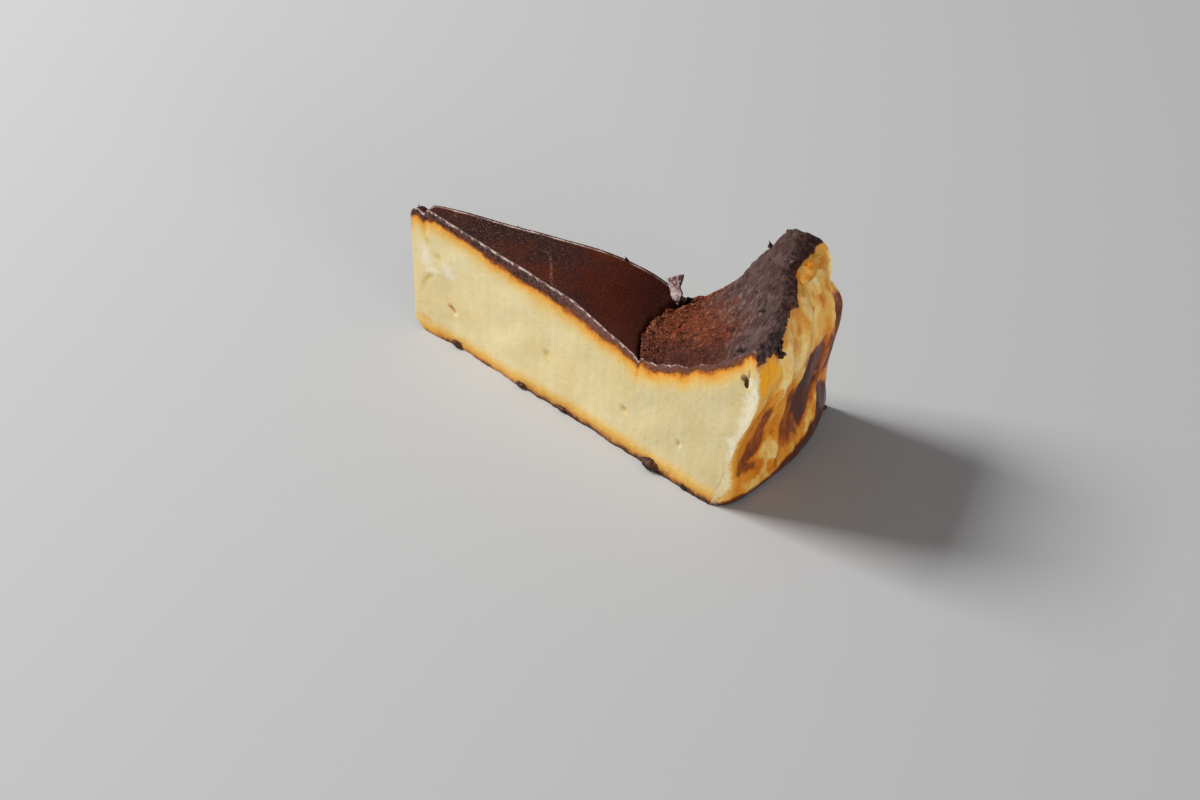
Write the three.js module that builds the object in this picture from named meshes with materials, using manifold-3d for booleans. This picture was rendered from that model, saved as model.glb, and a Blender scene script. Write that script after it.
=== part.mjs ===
// One cut slice of a burnt Basque cheesecake: a wedge of baked custard, browned all over its outside.
// The dark top skin falls from the point towards a torn seam, then climbs a rough slope to the raised rim.
// The outer wall bulges and is creased by the baking paper, and the base is flat.
// Millimetres, +Z up. The slice points along -X, and its base stands on z = 0.
import * as THREE from "three";
import { mergeVertices } from "three/addons/utils/BufferGeometryUtils.js";
import Module from "manifold-3d";

// Cut of the wedge, seen from above: both cuts nearly meet at the cake's centre.
const WEDGE_HALF_ANGLE = THREE.MathUtils.degToRad(12.2);
const FAR_CUT_OFFSET = 0.8;
const FAR_CUT_START = 0.5;
const WIDTH_AT_POINT = 1;
const WIDTH_AT_RIM = 48;

// Top skin, from the point to the seam. A size with two values is given at the near cut and at the far cut.
const POINT_HEIGHT = [40.6, 40.3];
const SKIN_FALL_PER_MM = [0.075, 0.1];
const SKIN_ROLL_OFF = [5.3, 7.5];
const SKIN_ROLL_OFF_LENGTH = [22, 26];
const SKIN_ROLL_OFF_POWER = [1.2, 2.6];
const SEAM_X = 71.2;
const SEAM_BEND = [6.3, 0.7];
const SEAM_TURN_SHARE = 0.55;
const SEAM_DEPTH = [0.9, 1.4];
const SEAM_WIDTH = 0.7;
const SEAM_EDGE = 0.9;
const SEAM_EDGE_WIDTH = 1.3;

// Slope behind the seam, and the raised rim that it climbs to.
const VALLEY_HEIGHT = [29.6, 25.6];
const CREST_HEIGHT = [49.6, 52];
const CREST_INSET = [0.6, 5.4];
const CREST_ROUNDING = 0.09;
const NEAR_CLIMB_POWER = 1.45;
const FAR_CLIMB_POWER = 1.1;
const FAR_CLIMB_SHARE = 0.8;
const CRAG_HEIGHT = 0.45;
const CRAG_LENGTH = 8;
const CRAG_START = [0.02, 0.2];

// Outer wall: its radius about the cake's centre at the base, and how it bulges above that.
const BASE_RADIUS = [110.3, 111.8];
const BULGE = [6.4, 2.6];
const BULGE_FADE = 2;
const BULGE_FOOT = [14, 10];
const BULGE_HEIGHT = [38, 33];
const SHOULDER_CURVE = [0.019, 0.02];
const BASE_EDGE_ROUNDING = 0.9;
const RIM_OVERHANG = 0.9;
const RIM_OVERHANG_DEPTH = 2.2;
const RIM_RAG_LENGTH = 7;

// The foot of the wall is worn back beside the near cut and flares out beyond its middle, and the shoulder
// is dented beside the far cut.
const FOOT_FLARE = 2.4;
const FOOT_FLARE_SHARE = 0.7;
const FOOT_FLARE_WIDTH = 0.35;
const FOOT_FLARE_HEIGHT = 14;
const CORNER_WEAR = 4.4;
const CORNER_WEAR_SHARE = 0.045;
const CORNER_WEAR_HEIGHT = 18;
const DENT_DEPTH = 2.4;
const DENT_SHARE = 0.1;
const DENT_Z = 40.5;
const DENT_HEIGHT = 3.4;

// Creases pressed into the wall by the folded paper, as shares of the way from the near to the far cut.
const CREASES = [
  { share: 0.12, depth: 0.6, width: 0.05, slant: 0.04 },
  { share: 0.3, depth: -1.0, width: 0.035, slant: -0.12 },
  { share: 0.42, depth: 1.0, width: 0.06, slant: 0.06 },
  { share: 0.6, depth: 1.6, width: 0.06, slant: 0.14 },
  { share: 0.77, depth: -1.2, width: 0.04, slant: 0.12 },
  { share: 0.86, depth: 1.5, width: 0.045, slant: 0.2 },
  { share: 0.96, depth: -0.9, width: 0.035, slant: 0.06 },
];
const CREASE_START = 0.25;
const CREASE_FADE_FROM = 0.75;
const CREASE_FADE = 0.6;

// Broken point, cut edges and browned base edge.
const POINT_CORNER_DROP = 3.6;
const POINT_CORNER_LENGTH = 2;
const CUT_EDGE_LIP = 0.4;
const CUT_EDGE_LIP_WIDTH = 0.8;
const CUT_WAVE = 0.25;
const CUT_WAVE_LENGTH = 17;
const CUT_WAVE_START = [2, 12];
const CUT_REACH_INWARDS = 7;

// The near cut leans: its foot stands in a little near the point and out towards the rim.
const LEAN_OUT = 2.4;
const LEAN_OUT_START = [46, 108];
const LEAN_IN = 1.2;
const LEAN_IN_REACH = 17;
const LEAN_IN_LENGTH = 13;
const LEAN_REACH_INWARDS = 3;
const BASE_SKIRT = 0.35;
const BASE_SKIRT_HEIGHT = 0.9;
const BASE_SKIRT_LENGTH = 6;

// Scraps of skin that stand up, as reach from the point, share across, size and lean.
const FLAKE = { reach: 71.8, share: 0.9, height: 9, topWidth: 5.2, footWidth: 2.6, thickness: 0.8 };
const FLAKE_TURN = THREE.MathUtils.degToRad(-14);
const FLAKE_LEAN = THREE.MathUtils.degToRad(6);
const SPIKES = [
  { reach: 58.2, share: 0.985, height: 1.4, width: 1.4 },
  { reach: 95.2, share: 0.985, height: 2, width: 1.4 },
  { reach: 2.4, share: 0.5, height: 1, width: 1.1 },
];
const SPIKE_SIDES = 5;
const ROOT_DEPTH = 1.6;

// Burnt beads of batter along the foot of the near cut: distance from the point, half length and half height.
const BEADS = [
  { reach: 14.4, length: 1.7, height: 0.9 },
  { reach: 39, length: 1.6, height: 0.8 },
  { reach: 53.7, length: 1.4, height: 0.7 },
  { reach: 85.3, length: 2.5, height: 1.4 },
];
const BEAD_STAND_OUT = 0.25;

// Hollows in the near cut: distance from the point, height, half sizes along the cut and upwards, and depth.
const HOLLOWS = [
  { reach: 5, z: 39.9, along: 0.8, up: 1.6, depth: 1.5 },
  { reach: 5, z: 33.6, along: 1.2, up: 3, depth: 0.4 },
  { reach: 13.2, z: 11.7, along: 0.8, up: 0.9, depth: 1.3 },
  { reach: 112.8, z: 41.2, along: 0.9, up: 1.6, depth: 1.4 },
];

// Grid of the surface: steps from the point to the seam, from the seam to the rim, across, and upwards.
const STEPS_SKIN = 30;
const STEPS_SLOPE = 26;
const STEPS_ACROSS = 20;
const STEPS_UP = 16;
const SEAM_CROWDING = 1.3;
const SLOPE_CROWDING = 1.2;
const EDGE_CROWDING = 0.5;

const { clamp, lerp, smoothstep } = THREE.MathUtils;
const between = ([near, far], share) => lerp(near, far, share);
const bump = (distance, width) => Math.exp(-((distance / width) ** 2));

// Even, repeatable unevenness between about -1 and 1.
function unevenness(a, b, wavelength) {
  const p = (2 * Math.PI * a) / wavelength;
  const q = (2 * Math.PI * b) / wavelength;
  return 0.5 * Math.sin(p + 1.7 * Math.sin(0.6 * q)) + 0.5 * Math.sin(1.3 * q + 1.9 * Math.sin(0.7 * p) + 2.1);
}

// The line that one share of the wedge follows in plan: where it starts at the blunt point, and its heading.
const FAR_START = new THREE.Vector2(FAR_CUT_START, FAR_CUT_OFFSET).rotateAround(
  new THREE.Vector2(),
  WEDGE_HALF_ANGLE,
);

function rayAt(share) {
  const angle = lerp(-WEDGE_HALF_ANGLE, WEDGE_HALF_ANGLE, share);
  return {
    start: FAR_START.clone().multiplyScalar(share),
    heading: new THREE.Vector2(Math.cos(angle), Math.sin(angle)),
  };
}

function creaseAt(share, z) {
  const up = clamp(z / CREST_HEIGHT[0], 0, 1);
  const pressed = CREASES.reduce(
    (sum, fold) => sum + fold.depth * bump(share - fold.share - fold.slant * (up - 0.5), fold.width),
    0,
  );
  return pressed * smoothstep(up, 0, CREASE_START) * (1 - CREASE_FADE * smoothstep(up, CREASE_FADE_FROM, 1));
}

// Radius of the outer wall about the cake's centre.
function wallRadius(share, z) {
  const top = between(BULGE_HEIGHT, share);
  const bulge = lerp(BULGE[1], BULGE[0], (1 - share) ** BULGE_FADE);
  const rise = bulge * smoothstep(z, between(BULGE_FOOT, share), top);
  const shoulder = between(SHOULDER_CURVE, share) * Math.max(0, z - top) ** 2;
  const overhang = RIM_OVERHANG * smoothstep(z, rimHeight(share) - RIM_OVERHANG_DEPTH, rimHeight(share));
  const ragged = overhang * (1 + unevenness(WIDTH_AT_RIM * share, z, RIM_RAG_LENGTH));
  const spread = FOOT_FLARE * bump(share - FOOT_FLARE_SHARE, FOOT_FLARE_WIDTH);
  const flare = spread * (1 - smoothstep(z, 0, FOOT_FLARE_HEIGHT));
  const foot = BASE_EDGE_ROUNDING * Math.exp(-z / BASE_EDGE_ROUNDING);
  const wear = CORNER_WEAR * Math.exp(-share / CORNER_WEAR_SHARE) * (1 - smoothstep(z, 0, CORNER_WEAR_HEIGHT));
  const dent = DENT_DEPTH * bump(1 - share, DENT_SHARE) * bump(z - DENT_Z, DENT_HEIGHT);
  const raised = rise + ragged + flare;
  const sunk = shoulder + foot + wear + dent + creaseAt(share, z);
  return between(BASE_RADIUS, share) + raised - sunk;
}

// Height at which the wall meets the rim's top.
function rimHeight(share) {
  return between(CREST_HEIGHT, share) - CREST_ROUNDING * between(CREST_INSET, share) ** 2;
}

// Distance along a ray to a circle of that radius about the cake's centre.
function reachOfRadius({ start, heading }, radius) {
  const along = start.dot(heading);
  return -along + Math.sqrt(along ** 2 + radius ** 2 - start.lengthSq());
}

function seamReach(share) {
  const { start, heading } = rayAt(share);
  const nearBend = SEAM_BEND[0] * Math.max(0, 1 - share / SEAM_TURN_SHARE) ** 2;
  const farBend = SEAM_BEND[1] * Math.max(0, (share - SEAM_TURN_SHARE) / (1 - SEAM_TURN_SHARE)) ** 2;
  return (SEAM_X + nearBend + farBend - start.x) / heading.x;
}

// Height of the top at a reach along the ray of that share.
function topHeight(reach, share) {
  const seam = seamReach(share);
  const rim = reachOfRadius(rayAt(share), wallRadius(share, rimHeight(share)));
  const width = lerp(WIDTH_AT_POINT, WIDTH_AT_RIM, reach / rim);
  const nearLip = Math.exp((-share * width) / CUT_EDGE_LIP_WIDTH);
  const farLip = Math.exp(((share - 1) * width) / CUT_EDGE_LIP_WIDTH);
  const crack = between(SEAM_DEPTH, share) * bump(reach - seam, SEAM_WIDTH);
  const edge = SEAM_EDGE * bump(reach - seam - SEAM_WIDTH - SEAM_EDGE_WIDTH, SEAM_EDGE_WIDTH);
  const height = reach < seam ? skinHeight(reach, share, seam) : slopeHeight(reach, share, seam, rim);
  return height + CUT_EDGE_LIP * (nearLip + farLip) - crack + edge;
}

function skinHeight(reach, share, seam) {
  const rolled = clamp(1 + (reach - seam) / between(SKIN_ROLL_OFF_LENGTH, share), 0, 1);
  const rollOff = between(SKIN_ROLL_OFF, share) * rolled ** between(SKIN_ROLL_OFF_POWER, share);
  const corner = POINT_CORNER_DROP * Math.exp(-reach / POINT_CORNER_LENGTH);
  return between(POINT_HEIGHT, share) - between(SKIN_FALL_PER_MM, share) * reach - rollOff - corner;
}

function slopeHeight(reach, share, seam, rim) {
  const crest = rim - between(CREST_INSET, share);
  const climbed = clamp((reach - seam) / (crest - seam), 0, 1);
  const eased = smoothstep(climbed ** FAR_CLIMB_POWER, 0, 1);
  const rise = lerp(climbed ** NEAR_CLIMB_POWER, eased, smoothstep(share, 0, FAR_CLIMB_SHARE));
  const rounding = CREST_ROUNDING * Math.max(0, reach - crest) ** 2;
  const crags = CRAG_HEIGHT * unevenness(reach, WIDTH_AT_RIM * share, CRAG_LENGTH);
  const base = lerp(valleyHeight(share, seam), between(CREST_HEIGHT, share), rise);
  return base - rounding + crags * smoothstep(climbed, ...CRAG_START);
}

// The slope starts where the skin ends, so that the seam stays closed below its crack.
function valleyHeight(share, seam) {
  return Math.min(between(VALLEY_HEIGHT, share), skinHeight(seam, share, seam));
}

// How far the foot of the near cut stands out.
function leanAt(reach) {
  const inwards = LEAN_IN * bump(reach - LEAN_IN_REACH, LEAN_IN_LENGTH);
  return LEAN_OUT * smoothstep(reach, ...LEAN_OUT_START) - inwards;
}

// Where a point of the unit box goes: along the wedge, across it and up it, each from 0 to 1.
function placeInWedge(along, share, up) {
  const ray = rayAt(share);
  const seam = seamReach(share);
  const rimReach = reachOfRadius(ray, wallRadius(share, rimHeight(share)));
  const steps = along * (STEPS_SKIN + STEPS_SLOPE);
  const onSkin = steps <= STEPS_SKIN;
  const part = onSkin
    ? 1 - (1 - steps / STEPS_SKIN) ** SEAM_CROWDING
    : ((steps - STEPS_SKIN) / STEPS_SLOPE) ** SLOPE_CROWDING;
  const topReach = onSkin ? seam * part : lerp(seam, rimReach, part);
  const z = up * topHeight(topReach, share);
  const wallReach = reachOfRadius(ray, wallRadius(share, z));
  const reach = onSkin ? topReach : lerp(seam, wallReach, part);
  const place = ray.start.clone().addScaledVector(ray.heading, reach);
  const sideways = new THREE.Vector2(-ray.heading.y, ray.heading.x);
  const outwards = 2 * share - 1;
  const waves = CUT_WAVE * unevenness(reach, z, CUT_WAVE_LENGTH) * smoothstep(reach, ...CUT_WAVE_START);
  const skirt = BASE_SKIRT * (1 + unevenness(reach, 0, BASE_SKIRT_LENGTH)) * Math.exp(-z / BASE_SKIRT_HEIGHT);
  place.addScaledVector(sideways, outwards * Math.abs(outwards) ** CUT_REACH_INWARDS * (waves + skirt));
  place.addScaledVector(sideways, -leanAt(reach) * (1 - up) * (1 - share) ** LEAN_REACH_INWARDS);
  return new THREE.Vector3(place.x, place.y, z);
}

// Crowds even steps from 0 to 1 towards both ends.
function crowdedEnds(part) {
  return lerp(part, (1 - Math.cos(Math.PI * part)) / 2, EDGE_CROWDING);
}

function wedgeGeometry() {
  const alongSteps = STEPS_SKIN + STEPS_SLOPE;
  const box = new THREE.BoxGeometry(1, 1, 1, alongSteps, STEPS_ACROSS, STEPS_UP);
  const position = box.getAttribute("position");
  const point = new THREE.Vector3();
  for (let i = 0; i < position.count; i++) {
    point.fromBufferAttribute(position, i).addScalar(0.5);
    const along = Math.round(point.x * alongSteps) / alongSteps;
    const share = crowdedEnds(Math.round(point.y * STEPS_ACROSS) / STEPS_ACROSS);
    const up = crowdedEnds(Math.round(point.z * STEPS_UP) / STEPS_UP);
    position.setXYZ(i, ...placeInWedge(along, share, up));
  }
  return box;
}

// A point on the top surface.
function onTop(reach, share) {
  const { start, heading } = rayAt(share);
  const place = start.addScaledVector(heading, reach);
  return new THREE.Vector3(place.x, place.y, topHeight(reach, share));
}

// A point on the near cut, and a turn that lays x along the cut and y into the slice.
const NEAR_CUT_TURN = new THREE.Matrix4().makeRotationZ(-WEDGE_HALF_ANGLE);
function onNearCut(reach, z) {
  const up = clamp(z / topHeight(reach, 0), 0, 1);
  return new THREE.Vector3(reach, -leanAt(reach) * (1 - up), z).applyMatrix4(NEAR_CUT_TURN);
}

// A torn scrap of skin: a thin plate, wider at its ragged top, rooted in the surface.
function flakeGeometry({ reach, share, height, topWidth, footWidth, thickness }) {
  const outline = new THREE.Shape([
    new THREE.Vector2(-footWidth / 2, -ROOT_DEPTH),
    new THREE.Vector2(footWidth / 2, -ROOT_DEPTH),
    new THREE.Vector2(0.55 * footWidth, 0.35 * height),
    new THREE.Vector2(0.6 * topWidth, 0.78 * height),
    new THREE.Vector2(0.42 * topWidth, height),
    new THREE.Vector2(-0.4 * topWidth, 0.78 * height),
    new THREE.Vector2(-0.6 * footWidth, 0.4 * height),
  ]);
  const plate = new THREE.ExtrudeGeometry(outline, { depth: thickness, bevelEnabled: false });
  const root = onTop(reach, share);
  return plate
    .translate(0, 0, -thickness / 2)
    .rotateX(Math.PI / 2 - FLAKE_LEAN)
    .rotateZ(FLAKE_TURN)
    .translate(root.x, root.y, root.z);
}

// A small upright splinter of skin.
function spikeGeometry({ reach, share, height, width }) {
  const root = onTop(reach, share);
  return new THREE.ConeGeometry(width / 2, height + ROOT_DEPTH, SPIKE_SIDES)
    .rotateX(Math.PI / 2)
    .translate(root.x, root.y, root.z + (height - ROOT_DEPTH) / 2);
}

// A flattened bead of batter, burnt on to the base edge and resting level with it.
function beadGeometry({ reach, length, height }) {
  return new THREE.SphereGeometry(1, 10, 6)
    .rotateX(Math.PI / 2)
    .scale(length, height, height)
    .translate(reach, -BEAD_STAND_OUT * height - leanAt(reach), height)
    .applyMatrix4(NEAR_CUT_TURN);
}

// The body to take out of the near cut for one hollow.
function hollowGeometry({ reach, z, along, up, depth }) {
  const place = onNearCut(reach, z);
  return new THREE.SphereGeometry(1, 12, 8)
    .scale(along, depth, up)
    .applyMatrix4(NEAR_CUT_TURN)
    .translate(place.x, place.y, place.z);
}

const wasm = await Module();
wasm.setup();

function solidOf(geometry) {
  geometry.deleteAttribute("normal");
  geometry.deleteAttribute("uv");
  const merged = mergeVertices(geometry, 1e-4);
  const vertProperties = new Float32Array(merged.getAttribute("position").array);
  const triVerts = new Uint32Array(merged.index.array);
  return new wasm.Manifold(new wasm.Mesh({ numProp: 3, vertProperties, triVerts }));
}

function geometryOf(solid) {
  const { vertProperties, triVerts } = solid.getMesh();
  const geometry = new THREE.BufferGeometry()
    .setAttribute("position", new THREE.BufferAttribute(vertProperties, 3))
    .setIndex(new THREE.BufferAttribute(triVerts, 1));
  geometry.computeVertexNormals();
  return geometry;
}

function sliceSolid() {
  const raised = [flakeGeometry(FLAKE), ...SPIKES.map(spikeGeometry), ...BEADS.map(beadGeometry)];
  const whole = raised.reduce((solid, piece) => solid.add(solidOf(piece)), solidOf(wedgeGeometry()));
  return HOLLOWS.map(hollowGeometry).reduce((solid, piece) => solid.subtract(solidOf(piece)), whole);
}

// The slice, with the middle of its box over the origin.
const geometry = geometryOf(sliceSolid());
geometry.computeBoundingBox();
const middle = geometry.boundingBox.getCenter(new THREE.Vector3());
geometry.translate(-middle.x, -middle.y, -geometry.boundingBox.min.z);

const bakedCustard = new THREE.MeshStandardMaterial({ color: 0xe3d19a, roughness: 0.6, metalness: 0 });
const slice = new THREE.Mesh(geometry, bakedCustard);
slice.name = "cheesecake_slice";

const part = new THREE.Group();
part.name = "basque_cheesecake_slice";
part.add(slice);

export default part;
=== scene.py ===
# One cut slice of burnt Basque cheesecake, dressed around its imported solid.
# Metres, +Z up. The point of the wedge is towards -X, the near cut faces -Y and the outer wall faces +X.
import cmath
import math
import random

import bmesh
import bpy
import numpy as np
from mathutils import Euler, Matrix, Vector, noise


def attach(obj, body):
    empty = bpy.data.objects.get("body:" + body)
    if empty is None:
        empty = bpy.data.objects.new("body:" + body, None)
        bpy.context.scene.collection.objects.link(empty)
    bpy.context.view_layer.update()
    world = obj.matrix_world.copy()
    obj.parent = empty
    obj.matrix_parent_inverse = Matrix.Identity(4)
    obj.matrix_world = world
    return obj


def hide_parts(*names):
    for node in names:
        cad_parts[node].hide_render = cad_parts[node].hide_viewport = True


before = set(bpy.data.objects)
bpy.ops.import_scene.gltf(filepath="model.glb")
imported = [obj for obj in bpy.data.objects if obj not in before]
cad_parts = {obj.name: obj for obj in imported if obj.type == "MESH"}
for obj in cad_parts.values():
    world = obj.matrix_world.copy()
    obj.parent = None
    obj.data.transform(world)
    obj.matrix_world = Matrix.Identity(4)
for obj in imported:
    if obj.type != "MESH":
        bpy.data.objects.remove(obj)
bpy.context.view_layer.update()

# The slice is one wedge of baked custard, cut twice from the middle of a round cake to its outside.
# Its top fell as it cooled: a smooth skin runs from the point to a torn seam, then a rough slope climbs
# to the raised rim. The form is a block, divided into steps and then drawn out to the wedge.
MM = 0.001
HALF_ANGLE = math.radians(12.2)
FAR_START = complex(0.5, 0.8) * cmath.exp(1j * HALF_ANGLE)
WEDGE_TO_BOX = complex(-57.727, 0.165)
WIDTH_AT_POINT = 1.0
WIDTH_AT_RIM = 48.0

# Sizes are in millimetres. Most pairs are a size at the near cut and at the far cut. A START pair is where
# a form begins and where it is full. The seam's depth and width are where it is shut and where it gapes.
# A SPOT lies at a share across the wall and a height up it, then come half its width and half its height.
POINT_HEIGHT = (40.6, 40.3)
SKIN_FALL_PER_MM = (0.075, 0.1)
SKIN_ROLL_OFF = (5.3, 7.5)
SKIN_ROLL_OFF_LENGTH = (22.0, 26.0)
SKIN_ROLL_OFF_POWER = (1.2, 2.6)
POINT_CORNER_DROP = 3.6
POINT_CORNER_LENGTH = 2.0
POINT_LEAN = 0.9
POINT_LEAN_LENGTH = 5.0
POINT_CHIP = 2.4
POINT_CHIP_LENGTH = 1.9
POINT_NOTCH_REACH = 4.8
POINT_NOTCH_DEPTH = 1.5
POINT_NOTCH_WIDTHS = (1.6, 0.6)
SEAM_X = 71.2
SEAM_BEND = (6.3, 0.7)
SEAM_TURN_SHARE = 0.55
SEAM_WANDER = 0.9
SEAM_WANDER_SIZE = 4.5
SEAM_DEPTH = (0.8, 3.0)
SEAM_WIDTH = (0.5, 1.6)
SEAM_GAPE = (0.6, 0.95)
SEAM_LIP = (0.6, 1.2)
SEAM_LIP_RISE = 0.5
SEAM_LIP_FALL = 3.5
VALLEY_HEIGHT = (29.6, 25.6)
CREST_HEIGHT = (49.6, 52.0)
CREST_INSET = (0.6, 5.4)
CREST_ROUNDING = 0.09
NEAR_CLIMB_POWER = 1.45
FAR_CLIMB_POWER = 1.1
FAR_CLIMB_SHARE = 0.8
CRAG_HEIGHT = 0.45
CRAG_LENGTH = 8.0
CRAG_START = (0.02, 0.2)
CUT_EDGE_LIP = 0.4
CUT_EDGE_LIP_WIDTH = 0.8
CUT_EDGE_LIP_START = (4.0, 9.0)
BASE_RADIUS = (110.3, 111.8)
BULGE = (6.4, 2.6)
BULGE_FADE = 2
BULGE_FOOT = (14.0, 10.0)
BULGE_HEIGHT = (38.0, 33.0)
SHOULDER_CURVE = (0.019, 0.02)
BASE_EDGE_ROUNDING = 0.9
CORNER_WEAR = 4.4
CORNER_WEAR_SHARE = 0.045
CORNER_WEAR_HEIGHT = 18.0
FOOT_FLARE = 2.4
FOOT_FLARE_SHARE = 0.7
FOOT_FLARE_WIDTH = 0.35
FOOT_FLARE_HEIGHT = 14.0
DENT_DEPTH = 2.4
DENT_SPOT = (1.0, 40.5, 0.1, 3.4)
CUT_WAVE = 0.12
CUT_WAVE_LENGTH = 17.0
CUT_WAVE_START = (2.0, 12.0)
CUT_REACH_INWARDS = 7
LEAN_OUT = 2.4
LEAN_OUT_START = (46.0, 108.0)
LEAN_IN = 1.2
LEAN_IN_REACH = 17.0
LEAN_IN_LENGTH = 13.0
LEAN_REACH_INWARDS = 3
BASE_SKIRT = 0.3
BASE_SKIRT_HEIGHT = 0.9

# Creases that the folded baking paper pressed into the wall: share across, depth, width and slant.
CREASES = (
    (0.12, 0.6, 0.05, 0.04),
    (0.3, -1.0, 0.03, -0.12),
    (0.42, 1.0, 0.06, 0.06),
    (0.6, 1.6, 0.06, 0.14),
    (0.77, -1.2, 0.035, 0.12),
    (0.86, 1.5, 0.045, 0.2),
    (0.96, -0.9, 0.03, 0.06),
)
CREASE_START = 0.25
CREASE_FADE_FROM = 0.75
CREASE_FADE = 0.6

# Narrow folds that stand out of the wall: heights up it, shares across it there, half width and how far.
WALL_FOLDS = (
    ((4, 11, 17, 25, 32), (0.31, 0.33, 0.34, 0.29, 0.24), 0.9, 0.8),
    ((5, 16, 28, 40), (0.7, 0.79, 0.79, 0.86), 0.9, 0.7),
    ((28, 38, 46), (0.19, 0.27, 0.3), 1.5, 0.7),
    ((31, 38, 46), (0.43, 0.48, 0.56), 1.7, 0.8),
    ((40, 44, 49), (0.68, 0.71, 0.74), 0.8, 0.9),
)
FOLD_END = 2.0

# Browned patches, pressed in where the paper lay close: edges at a few heights, and how dark they baked.
PATCHES = (
    ((5, 7, 8.7, 10.2, 11.4, 12.9, 15.1, 19, 25, 29, 31, 34),
     (0.12, 0.06, 0.05, 0.04, 0.03, 0.02, 0.01, 0.0, 0.0, 0.01, 0.09, 0.22),
     (0.22, 0.27, 0.265, 0.22, 0.18, 0.215, 0.265, 0.25, 0.225, 0.22, 0.22, 0.23), 0.5),
    ((7, 9.3, 11.4, 12.9, 15.1, 19, 22.6, 27, 30.5, 33),
     (0.09, 0.05, 0.055, 0.06, 0.08, 0.125, 0.125, 0.135, 0.175, 0.205),
     (0.23, 0.22, 0.17, 0.235, 0.285, 0.265, 0.24, 0.235, 0.23, 0.225), 0.75),
    ((5.8, 7, 9.3, 13, 15, 20, 24), (0.47, 0.4, 0.36, 0.315, 0.3, 0.295, 0.4),
     (0.6, 0.63, 0.63, 0.6, 0.58, 0.53, 0.48), 0.7),
    ((2.4, 3.4, 5, 7.8), (0.3, 0.28, 0.275, 0.28), (0.37, 0.385, 0.37, 0.33), 0.64),
    ((6.2, 8, 11, 14, 18, 21, 24, 26, 28.5, 32),
     (0.57, 0.57, 0.55, 0.52, 0.49, 0.48, 0.48, 0.53, 0.6, 0.7),
     (0.62, 0.655, 0.715, 0.735, 0.745, 0.745, 0.75, 0.76, 0.77, 0.76), 0.96),
    ((14, 20, 25, 28, 30, 35, 38), (0.86, 0.8, 0.73, 0.74, 0.78, 0.8, 0.86), (1.1,) * 7, 0.82),
    ((5, 8, 14, 22), (0.9, 0.93, 0.93, 0.93), (1.1,) * 4, 0.98),
    ((-1, 3, 6, 9.5, 12), (0.54, 0.58, 0.675, 0.715, 0.745), (1.1,) * 5, 0.88),
    ((15, 20, 26, 33), (0.27, 0.26, 0.25, 0.24), (0.5, 0.48, 0.46, 0.38), 0.5),
    ((13, 18, 28, 35), (0.7, 0.7, 0.71, 0.8), (0.88, 0.9, 0.88, 0.88), 0.7),
)
BROWN_FOOT = (
    (0.0, 0.16, 0.31, 0.385, 0.47, 0.64, 0.72, 0.8, 1.0),
    (0.5, 1.4, 1.4, 1.8, 2.7, 3.9, 6.4, 8.2, 8.0),
)
PATCH_EDGE = 0.5
PATCH_DEPTH = 0.4

# Spots of the wall: share across, height, half width as a share, half height and how dark.
WALL_SPOTS = (
    (0.36, 41.2, 0.05, 2.2, 0.46),
    (0.515, 31.2, 0.03, 2.4, 0.7),
    (0.24, 45.3, 0.05, 1.6, 0.42),
    (0.43, 42.8, 0.035, 1.6, 0.44),
    (0.64, 42.2, 0.016, 1.5, 0.68),
    (0.71, 42.8, 0.025, 2.4, 0.58),
    (0.82, 44.2, 0.04, 2.6, 0.45),
    (0.92, 47.4, 0.09, 2.8, 0.44),
    (0.74, 50.4, 0.12, 2.2, 0.5),
)
YOLK_SPOT = (0.07, 40.6, 0.12, 4.6)

# How far the black crust reaches past the rim, down the wall, by share across. Below 0 it is torn short.
CRUST_EDGE = (
    (0.0, 0.045, 0.13, 0.16, 0.21, 0.25, 0.3, 0.345, 0.42, 0.46, 0.51, 0.67, 0.8, 0.92, 1.0),
    (2.9, 3.2, 4.0, 4.0, 2.9, 2.2, 1.4, 0.5, 0.9, 1.6, -0.2, -2.6, -3.0, -1.6, -0.5),
)
CRUST_RAG = 0.35
CRUST_RAG_SIZE = 3.0
FLAP_SHARE = 0.188
FLAP_WIDTH = 0.025
FLAP_LENGTH = 3.0
CRUST_THICKNESS = 0.9
TORN_RIM_DEPTHS = (1.4, 1.0)
CHARRED_EDGE = (0.8, 0.2)

# Pits burnt into the ridge: reach from the point, share across, radius and depth.
RIDGE_PITS = (
    (104.6, 0.36, 1.0, 1.0),
    (107.4, 0.08, 1.1, 0.9),
    (98.5, 0.3, 0.7, 0.5),
    (104.0, 0.72, 0.8, 0.6),
)

# Hollows in the near cut: reach from the point, height, half length, half height and depth.
HOLLOWS = (
    (5.0, 39.9, 0.8, 1.6, 1.5),
    (5.0, 33.6, 0.9, 2.6, 0.25),
    (9.4, 26.6, 1.0, 0.9, 0.2),
    (12.8, 12.0, 0.5, 0.6, 0.9),
    (13.7, 11.2, 0.4, 0.7, 0.9),
    (48.2, 15.2, 0.8, 0.9, 0.3),
    (75.3, 12.4, 0.8, 0.8, 0.4),
    (93.8, 12.1, 0.6, 0.9, 0.4),
    (112.6, 40.6, 0.9, 1.5, 0.6),
)
SCAR_MIDDLE = complex(10.9, 13.0)
SCAR_RADIUS = 8.5
SCAR_WIDTH = 0.6
SCAR_DEPTH = 0.1
SCAR_BURR = 0.06
SCAR_TURN = math.radians(140)
SCAR_SPREAD = math.radians(42)

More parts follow.
